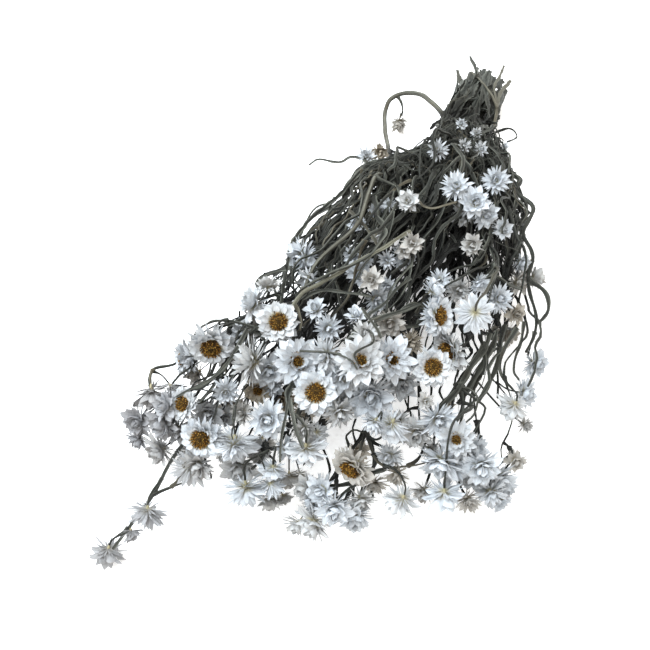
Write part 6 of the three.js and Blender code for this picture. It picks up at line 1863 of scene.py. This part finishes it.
def bract_shape(heads, grid):
    """Bracts of heads, of some layers: closed pointed leaves, each curled along and cupped across.

    Along a bract its lean from the head's axis grows evenly from root to tip, and its middle line is
    the running sum of that direction. Across it the height is the cup times the square of the
    distance from the middle line, and a ripple along the edges.
    """
    layers, ring_places, ring_widths, point_places, point_sides = (np.array(values) for values in grid)
    right, up, axis, width, root = head_frames(heads)
    opened, seed, age, faded, bare = (
        head_values(heads, name) for name in ("open", "seed", "age", "faded", "bare")
    )
    kind = head_kinds(heads)
    (small, least), (middling, less) = FEWER_BRACTS
    fewer = np.where(width >= middling, 1.0, np.where(width >= small, less, least))
    fewer = np.minimum(fewer, [strand.head.get("fewer", 1.0) for strand in heads])
    rows = []
    layer_counts = np.array(list(LAYER_COUNTS.values()))
    for layer in layers:
        counts = np.round(layer_counts[kind, layer] * fewer).astype(int)
        owner = np.repeat(np.arange(len(heads)), counts)
        turn = np.arange(len(owner)) - np.repeat(np.cumsum(counts) - counts, counts)
        rows.append(np.stack([owner, np.full(len(owner), layer), turn, counts[owner]], 1))
    owner, layer, turn, count = np.vstack(rows).T
    draw = seed[owner] * 3 + layer * 71 + turn * 7.3

    def between(pairs, share):
        """Value of each bract's layer, from the closed head's to the open one's by a share."""
        closed, wide = np.array(pairs, float)[layer].T
        return closed + (wide - closed) * share

    lean = between(LAYER_LEANS, opened[owner])
    lean = lean + (np.array(DISC_LEANS)[layer] - lean) * bare[owner]
    inner_layer = layer >= INNER_LAYER
    lean = np.radians(lean + stray(draw + 1) * np.where(inner_layer, *LEAN_LOOSE))
    curl = between(LAYER_CURLS, bare[owner]) + stray(draw + 2) * np.where(inner_layer, *CURL_LOOSE)
    curl = np.radians(curl)
    length = between(LAYER_LENGTHS, bare[owner])
    length = length * (BRACT_LENGTH + BRACT_LENGTH_RANGE * chance(draw + 3)) * width[owner]
    half = np.array(list(LAYER_WIDTHS.values()))[kind[owner], layer]
    half = half * (BRACT_WIDTH + BRACT_WIDTH_RANGE * chance(draw + 4)) * width[owner]
    half = half * np.where(fewer[owner] < 1, FEWER_BROADER, 1.0)
    azimuth = 2 * np.pi * (turn + 0.5 * (layer % 2) + ROUND_LOOSE * stray(draw + 5)) / count
    azimuth = azimuth + layer * LAYER_TURN + seed[owner]
    lean = lean + np.radians(SIDE_LEAN) * np.cos(azimuth - seed[owner] * 2.1)

    out = right[owner] * np.cos(azimuth)[:, None] + up[owner] * np.sin(azimuth)[:, None]
    bend = np.array([strand.head.get("bend", np.zeros(3)) for strand in heads])
    bent = (out * bend[owner]).sum(1)
    lean = lean + np.radians(BEND_LEAN) * bent
    length = length * (1 - BEND_SHORT * bent)
    across_way = np.cross(axis[owner], out)
    radius = ROOT_RADIUS[0] + (ROOT_RADIUS[1] - ROOT_RADIUS[0]) * bare[owner]
    radius = radius * (ROOT_SHARE + ROOT_SHARE_STEP * layer)
    foot = root[owner] + out * (radius * width[owner])[:, None]
    foot = foot + axis[owner] * (np.array(LAYER_RISES)[layer] * width[owner])[:, None]

    steps = np.concatenate([[0], ring_places, [1]])
    middle = (steps[1:] + steps[:-1]) / 2
    leans = lean[:, None] + (middle - 0.5) * curl[:, None]
    steps_out = np.sin(leans) * np.diff(steps) * length[:, None]
    steps_up = np.cos(leans) * np.diff(steps) * length[:, None]
    line = foot[:, None] + np.cumsum(steps_out, 1)[..., None] * out[:, None]
    line = line + np.cumsum(steps_up, 1)[..., None] * axis[owner][:, None]
    tip, line = line[:, -1], line[:, :-1]
    ring_lean = (lean[:, None] + (ring_places - 0.5) * curl[:, None])[..., None]
    inner = np.sin(ring_lean) * axis[owner][:, None] - np.cos(ring_lean) * out[:, None]
    # Each bract is also rolled a little about its own length.
    roll = (stray(draw + 6) * np.where(inner_layer, *ROLL_LOOSE))[:, None, None]
    side = across_way[:, None] * np.cos(roll) + inner * np.sin(roll)
    inner = inner * np.cos(roll) - across_way[:, None] * np.sin(roll)

    wide = half[:, None] * ring_widths
    cup = BRACT_CUP * (BRACT_CUP_LEAST + BRACT_CUP_RANGE * chance(draw + 7))
    ripple = np.sin(BRACT_RIPPLE_TURNS * ring_places[None, :] + 6.3 * chance(draw + 8)[:, None])
    ripple = BRACT_RIPPLE * ripple
    height = wide[..., None] * cup[:, None, None] * point_places**2
    height = height + wide[..., None] * ripple[..., None] * point_places
    height = height - np.where(point_sides < 0, BRACT_THICK, 0) * wide[..., None]
    points = line[:, :, None] + side[:, :, None] * (wide[..., None] * point_places)[..., None]
    points = points + inner[:, :, None] * height[..., None]
    return closed_tubes(
        points, foot, tip, along=ring_places[None, :, None], across=point_places[None, None, :],
        tone=chance(draw + 9)[:, None, None], age=age[owner][:, None, None],
        faded=faded[owner][:, None, None],
    )


def lathe_shape(heads, sides, radius, profile, ends, **values):
    """Lathe shapes on the axes of heads, each of closed rings of points.

    The profile holds the rise of each ring over the middle of the head and its share of the radius.
    Rises, and the ends that close the shape, are shares of the head's width.
    """
    right, up, axis, width, root = head_frames(heads)
    rises, shares = np.array(profile).T
    angles = np.arange(sides) / sides * 2 * np.pi
    around = right[:, None] * np.cos(angles)[:, None] + up[:, None] * np.sin(angles)[:, None]
    rings = root[:, None, None] + axis[:, None, None] * (rises * width[:, None])[..., None, None]
    rings = rings + around[:, None] * ((radius * width)[:, None] * shares)[..., None, None]
    first, last = (root + axis * (end * width)[:, None] for end in ends)
    return closed_tubes(rings, first, last, **values)


def receptacle_shape(heads):
    """Green-cream bases of heads: each a cup that swells from its stalk to the roots of its bracts."""
    bare = head_values(heads, "bare")
    radius = ROOT_RADIUS[0] + (ROOT_RADIUS[1] - ROOT_RADIUS[0]) * bare + 0.01
    tone = np.array([chance(strand.head["seed"]) for strand in heads])
    zero = np.zeros((1, 1, 1))
    return lathe_shape(
        heads, BASE_SIDES, radius, BASE_PROFILE, (BASE_LOWEST, np.where(bare > 0, *BASE_TOPS)),
        along=np.array(BASE_PALENESS)[None, :, None], across=zero, tone=tone[:, None, None],
        age=head_values(heads, "age")[:, None, None], faded=zero,
    )


def disc_shape(heads):
    """Discs of open heads: tube florets on a low dome, set by the golden turn from its middle out.

    Floret n of N stands at the square root of n / N of the radius, and n golden turns round.
    """
    right, up, axis, width, root = head_frames(heads)
    number = np.arange(FLORETS)
    share = np.sqrt((number + 0.5) / FLORETS)
    angle = number * GOLDEN_TURN
    seed = head_values(heads, "seed")[:, None] + number * 3.1
    radius = DISC_RADIUS * share * (1 + FLORET_APART * stray(seed))
    out = right[:, None] * np.cos(angle)[:, None] + up[:, None] * np.sin(angle)[:, None]
    rise = DISC_RISE + DISC_DOME * (1 - share**2)
    foot = root[:, None] + out * (radius * width[:, None])[..., None]
    foot = foot + axis[:, None] * ((rise - FLORET_SINK) * width[:, None])[..., None]
    loose = FLORET_LOOSE * stray(seed[..., None] + np.arange(3))
    way = unit(axis[:, None] + out * (FLORET_LEAN * share**2)[:, None] + loose)
    tall = (FLORET_TALL + FLORET_TALL_RANGE * chance(seed + 1)) * width[:, None]
    thick = FLORET_THICK * width[:, None]
    turn = np.arange(FLORET_SIDES) / FLORET_SIDES * 2 * np.pi
    side = unit(np.cross(way, right[:, None] + 0.01))
    over = np.cross(way, side)
    ring = side[..., None, :] * np.cos(turn)[:, None] + over[..., None, :] * np.sin(turn)[:, None]
    heights, swell = np.array(FLORET_PROFILE).T
    rings = foot[:, :, None, None] + way[:, :, None, None] * (tall[..., None] * heights)[..., None, None]
    rings = rings + ring[:, :, None] * (thick[..., None] * swell)[..., None, None]
    last = foot + way * (tall * FLORET_MOUTH)[..., None]
    shape = rings.shape
    tone = np.broadcast_to(chance(seed + 2), shape[:2]).reshape(-1, 1, 1)
    place = np.broadcast_to(share, shape[:2]).reshape(-1, 1, 1)
    florets = closed_tubes(
        rings.reshape(-1, *shape[2:]), foot.reshape(-1, 3), last.reshape(-1, 3),
        tip=heights[None, :, None], tone=tone, place=place,
    )
    zero = np.zeros((1, 1, 1))
    bed = lathe_shape(
        heads, BED_SIDES, DISC_RADIUS, BED_PROFILE, BED_ENDS, tip=zero, tone=zero, place=zero + 0.5
    )
    return join([florets, bed])


# Materials


class Value:
    """A socket of a shader, so that maths on it is written as plain sums and products."""

    def __init__(self, shader, socket):
        self.shader, self.socket = shader, socket

    def math(self, operation, *terms):
        """Math node of an operation on terms."""
        return self.shader.node("ShaderNodeMath", {"operation": operation}, dict(enumerate(terms)))

    def __add__(self, other):
        return self.math("ADD", self, other)

    def __sub__(self, other):
        return self.math("SUBTRACT", self, other)

    def __rsub__(self, other):
        return self.math("SUBTRACT", other, self)

    def __mul__(self, other):
        return self.math("MULTIPLY", self, other)

    def rise(self, low, high):
        """Smooth step from 0 at low to 1 at high."""
        values = {"Value": self, "From Min": low, "From Max": high}
        return self.shader.node("ShaderNodeMapRange", {"interpolation_type": "SMOOTHSTEP"}, values)

    __radd__ = __add__
    __rmul__ = __mul__


class Shader:
    """A finish: a material, and the one way in which its nodes are made."""

    def __init__(self, name):
        self.material = bpy.data.materials.new(name)
        self.material.use_nodes = True
        self.tree = self.material.node_tree
        self.tree.nodes.clear()

    def node(self, kind, settings=None, inputs=None, output=0):
        """Output of a new node of a kind, with its settings and then its inputs."""
        node = self.tree.nodes.new(kind)
        for name, value in (settings or {}).items():
            setattr(node, name, value)
        for key, value in (inputs or {}).items():
            if isinstance(value, Value):
                self.tree.links.new(value.socket, node.inputs[key])
            else:
                node.inputs[key].default_value = value
        return Value(self, node.outputs[output]) if node.outputs else None

    def attribute(self, name):
        """Point value of a name on the piece itself."""
        return self.node("ShaderNodeAttribute", {"attribute_name": name}, output=2)

    def vector(self, x, y, z):
        """Vector of three values."""
        return self.node("ShaderNodeCombineXYZ", inputs={0: x, 1: y, 2: z})

    def noise(self, vector, scale, detail=2.0):
        """Cloudy pattern from 0 to 1."""
        return self.node("ShaderNodeTexNoise", inputs={"Vector": vector, "Scale": scale, "Detail": detail})

    def mix(self, first, second, share):
        """Colour between two colours by a share."""
        settings = {"data_type": "RGBA", "clamp_factor": True}
        return self.node("ShaderNodeMix", settings, {0: share, 6: first, 7: second}, output=2)

    def surface(self, colour, roughness, height, distance, **constants):
        """Ends the finish with its colour, roughness and bumps."""
        bump = self.node("ShaderNodeBump", inputs={"Height": height, "Distance": distance, "Strength": 1.0})
        values = {"Base Color": colour, "Roughness": roughness, "Normal": bump}
        values.update({name.replace("_", " "): value for name, value in constants.items()})
        shader = self.node("ShaderNodeBsdfPrincipled", inputs=values)
        self.node("ShaderNodeOutputMaterial", inputs={"Surface": shader})
        return self.material


def rgb(red, green, blue):
    """Colour from the 0 to 255 values seen on a screen, for a socket."""
    seen = np.array([red, green, blue]) / 255
    linear = np.where(seen <= 0.04045, seen / 12.92, ((seen + 0.055) / 1.055) ** 2.4)
    return (*linear.tolist(), 1.0)


def dried_stem():
    """Dried winged stem: olive-brown fibres that run along it, paler and greyer wings, and painted shade
    deep in the bunch.
    """
    shader = Shader("dried_stem")
    run, across = shader.attribute("run"), shader.attribute("across")
    wing, tone = shader.attribute("wing"), shader.attribute("tone")
    fibre = shader.noise(shader.vector(run * 0.045, across * 7.0, tone * 60.0), 1.0, 4.0)
    patch = shader.noise(shader.vector(run * 0.11, across * 0.8, tone * 31.0), 1.0, 3.0)
    place = shader.node("ShaderNodeTexCoord", output=3)
    speck = shader.noise(place, 900.0, 2.0)
    colour = shader.mix(rgb(25, 26, 23), rgb(68, 70, 63), fibre.rise(0.34, 0.66))
    colour = shader.mix(colour, rgb(84, 76, 60), patch.rise(0.58, 0.75) * 0.4)
    colour = shader.mix(colour, rgb(20, 21, 18), patch.rise(0.48, 0.32) * 0.65)
    colour = shader.mix(colour, rgb(130, 132, 122), wing * (0.12 + 0.6 * fibre.rise(0.3, 0.7)))
    colour = shader.mix(colour, rgb(112, 102, 82), tone.rise(0.86, 0.95) * 0.45)
    colour = shader.mix(colour, rgb(22, 23, 20), tone.rise(0.5, 0.2) * 0.6)
    colour = shader.mix(colour, rgb(138, 140, 124), tone.rise(1.2, 1.4) * fibre.rise(0.36, 0.6))
    colour = shader.mix(colour, rgb(52, 45, 34), speck.rise(0.62, 0.75) * 0.6)
    # Painted shade: stems deep under the heap's top darken nearly to black.
    colour = shader.mix(colour, rgb(10, 11, 9), shader.attribute("deep").rise(0.05, 0.8) * 0.9)
    neck = shader.node("ShaderNodeSeparateXYZ", inputs={0: place}, output=1).rise(0.15, 0.2)
    colour = shader.mix(colour, rgb(112, 116, 110), neck * (0.12 + 0.34 * patch))
    height = fibre * 0.8 + speck * 0.2
    return shader.surface(colour, 0.72 - 0.2 * fibre, height, 0.0009, Specular_IOR_Level=0.35)


def papery_bract():
    """Papery bract: blue-white with fine lines along it, cream at its foot, beige where it is old.

    Painted shade also makes it beige deep in the bunch and grey towards the left of the bunch.
    """
    shader = Shader("papery_bract")
    along, across = shader.attribute("along"), shader.attribute("across")
    tone, age = shader.attribute("tone"), shader.attribute("age")
    line = shader.noise(shader.vector(along * 1.3, across * 7.0, tone * 50.0), 1.0, 3.0)
    cloud = shader.noise(shader.vector(along * 2.2, across * 1.2, tone * 80.0), 1.0, 2.0)
    colour = shader.mix(rgb(190, 195, 201), rgb(215, 220, 225), line.rise(0.34, 0.6))
    colour = shader.mix(colour, rgb(184, 182, 184), cloud.rise(0.54, 0.74) * 0.45)
    foot = along.rise(0.42, 0.05)
    colour = shader.mix(colour, rgb(184, 174, 128), foot * 0.7)
    colour = shader.mix(colour, rgb(108, 103, 64), along.rise(0.12, 0.0) * 0.6)
    # Beige of old heads, which is also painted shade on heads deep in the bunch.
    beige_share = age * (0.75 + 0.5 * cloud)
    colour = shader.mix(colour, rgb(160, 144, 116), beige_share)
    # Painted shade: heads towards the left of the bunch turn grey.
    colour = shader.mix(colour, rgb(145, 144, 146), shader.attribute("faded"))
    colour = shader.mix(colour, rgb(134, 110, 76), along.rise(0.85, 1.0) * tone.rise(0.6, 0.9) * 0.4)
    height = line * 0.7 + cloud * 0.3
    return shader.surface(colour, 0.62 + 0.1 * line, height, 0.0006, Specular_IOR_Level=0.3)


def dried_disc():
    """Disc florets: golden mouths on orange-brown tubes, some of them dark."""
    shader = Shader("dried_disc")
    tip, tone, place = shader.attribute("tip"), shader.attribute("tone"), shader.attribute("place")
    colour = shader.mix(rgb(58, 38, 16), rgb(146, 103, 34), tip.rise(0.2, 0.95))
    colour = shader.mix(colour, rgb(192, 152, 76), tip.rise(0.8, 1.0) * tone.rise(0.6, 0.85) * 0.85)
    colour = shader.mix(colour, rgb(50, 31, 14), tone.rise(0.46, 0.26) * 0.75)
    colour = shader.mix(colour, rgb(128, 104, 42), place.rise(0.6, 0.4) * 0.4)
    colour = shader.mix(colour, rgb(40, 26, 12), place.rise(0.3, 0.12) * 0.85 + place.rise(0.88, 1.0) * 0.7)
    grain = shader.noise(shader.node("ShaderNodeTexCoord", output=3), 2500.0, 2.0)
    colour = shader.mix(colour, rgb(66, 42, 17), grain.rise(0.5, 0.7) * 0.4)
    return shader.surface(colour, 0.8 - 0.15 * tip, grain, 0.0003, Specular_IOR_Level=0.3)


def pale_floor():
    """Plain pale floor with the least of clouds in it, and a glow that lifts the shadow of the bunch on it.
    """
    shader = Shader("pale_floor")
    cloud = shader.noise(shader.node("ShaderNodeTexCoord", output=3), 3.0, 2.0)
    colour = shader.mix(rgb(252, 252, 252), rgb(254, 254, 254), cloud)
    return shader.surface(
        colour, 0.9 + 0.05 * cloud, cloud, 0.0001,
        Specular_IOR_Level=0.1, Emission_Color=(1.0, 1.0, 1.0, 1.0), Emission_Strength=FLOOR_GLOW,
    )


# The bunch, its floor and its light


def head_age(head):
    """How far a head has turned beige: painted shade that grows the deeper it lies in the bunch, and a
    random age.
    """
    deep = np.clip((DEPTH_SHADE_SHARE - head["share"]) * DEPTH_SHADE_RISE, 0, DEPTH_SHADE_MOST)
    return float(deep + AGE_RANGE * chance(head["seed"] + 9) ** 3)


def head_faded(head):
    """Painted grey shade of a head: more towards the left of the bunch, less where its disc shows."""
    left = np.interp(head["seen"][0], *LEFT_SHADE_PLACES)
    loose = LEFT_SHADE_LEAST + LEFT_SHADE_RANGE * chance(head["seed"] + 12)
    return float(left * loose * (1 - LEFT_SHADE_DISC * head["bare"]))


def thin_strands(own, spray, number):
    """Strands of a spray that only the scene has: tendrils, blades, curls, low wings and small heads."""
    sparse = "sparse" in spray
    reach = TENDRIL_SPARSE_REACH if sparse else spray.get("reach", TENDRIL_REACH)
    thin = [tendril(own[0], number, turn, reach) for turn in range(TENDRILS)]
    thin += [blade(own[0], number, turn) for turn in range(NECK_BLADES + BLADES)]
    thin += [curl(own[0], number, turn) for turn in range(CURLS)]
    thin += [litter(own[0], number, turn) for turn in range(0 if sparse else LITTER)]
    hosts = [strand for strand in own if not strand.head]
    for turn, (name, *row) in enumerate(SMALL_HEADS):
        if name == spray["name"]:
            thin.append(small_head(hosts, number, turn, *row))
    for strand in own:
        low = strand.head and strand.knots[-1][1] < TWIN_END and not sparse
        if low and strand.head["width"] >= TWIN_LEAST and chance(strand.head["seed"] + 21) < TWIN_SHARE:
            thin.append(add_twin(strand))
    return thin


def wrap_shape(main, number):
    """Withered strips round the neck, beside one main stem."""
    wraps = [wrap(main, number, turn) for turn in range(WRAPS)]
    seeds = [number * 61 + turn for turn in range(WRAPS)]
    for strand, seed in zip(wraps, seeds):
        draw_curve(strand, seed)
    return strand_shape(wraps, seeds, WRAP_WIDTHS)


def strip_shapes(spray, number):
    """Strips of a spray that can be told apart in the picture, each in its own tone."""
    shapes = []
    for seed, (name, tone, widths, rows) in enumerate(STRIPS, STRIP_SEED):
        if name == spray["name"]:
            kind = "branch" if widths[0] < ROUND_STRIP else "blade"
            strand = Strand(number, kind, np.array([sight(*row) for row in rows]) - MIDDLE, calm=True)
            draw_curve(strand, seed)
            shapes.append(strand_shape([strand], [seed], widths))
            shapes[-1][3]["tone"][:] = tone
            # The strips get no painted shade from their depth.
            shapes[-1][3]["deep"][:] = 0.0
    return shapes


def add_bunch():
    """All the sprays: the stems, the heads and the discs of each."""
    strands = [strand for number, spray in enumerate(SPRAYS) for strand in grow_spray(spray, number)]
    clear_neighbours(strands)
    place_heads(strands)
    follow_courses(strands)
    seeds = {}
    for number, strand in enumerate(strands):
        seeds[id(strand)] = strand.head["seed"] if strand.head else number * 31
        draw_curve(strand, seeds[id(strand)])
    stem, bract, disc = dried_stem(), papery_bract(), dried_disc()
    for number, spray in enumerate(SPRAYS):
        own = [strand for strand in strands if strand.spray == number]
        thin = thin_strands(own, spray, number)
        for turn, strand in enumerate(thin):
            seeds[id(strand)] = number * 53 + turn * 7 + 3
            draw_curve(strand, seeds[id(strand)])
        heads = [strand for strand in own + thin if strand.head]
        for strand in heads:
            strand.head.setdefault("age", head_age(strand.head))
            strand.head["faded"] = head_faded(strand.head)
        shapes = []
        for kind in SEEN_WIDTHS:
            alike = [strand for strand in own + thin if strand.kind == kind]
            if alike:
                shapes.append(strand_shape(alike, [seeds[id(strand)] for strand in alike]))
        shapes.append(wrap_shape(own[0], number))
        shapes += strip_shapes(spray, number)
        name, node = spray["name"], "spray_" + spray["name"]
        add_piece("stems_" + name, join(shapes), stem, node, STEM_SHARP)
        shape = join([bract_shape(heads, grid) for grid in BRACT_GRIDS] + [receptacle_shape(heads)])
        add_piece("bracts_" + name, shape, bract, node, HEAD_SHARP)
        open_heads = [strand for strand in heads if strand.head["bare"] > 0]
        if open_heads:
            add_piece("discs_" + name, disc_shape(open_heads), disc, node, HEAD_SHARP)


def add_floor():
    """Floor under the bunch."""
    bpy.ops.mesh.primitive_plane_add(size=FLOOR_SIZE)
    floor = bpy.context.object
    floor.name = "floor"
    floor.data.materials.append(pale_floor())


def add_light():
    """Soft light: a pale room, and a large lamp up to the left of the camera."""
    world = bpy.data.worlds.new("room")
    bpy.context.scene.world = world
    world.use_nodes = True
    sky = world.node_tree.nodes["Background"]
    sky.inputs["Color"].default_value = ROOM_COLOUR
    sky.inputs["Strength"].default_value = ROOM_LIGHT
    data = bpy.data.lights.new("lamp", "AREA")
    data.shape = "DISK"
    data.size = LAMP_SIZE
    data.energy = LAMP_POWER
    data.color = LAMP_COLOUR
    place = np.array(LAMP_PLACE)
    back = unit(place)
    add_turned(data, place, unit(np.cross(UP, back)), back)
    bpy.context.scene.view_settings.view_transform = "Standard"


add_camera()
add_bunch()
add_floor()
add_light()
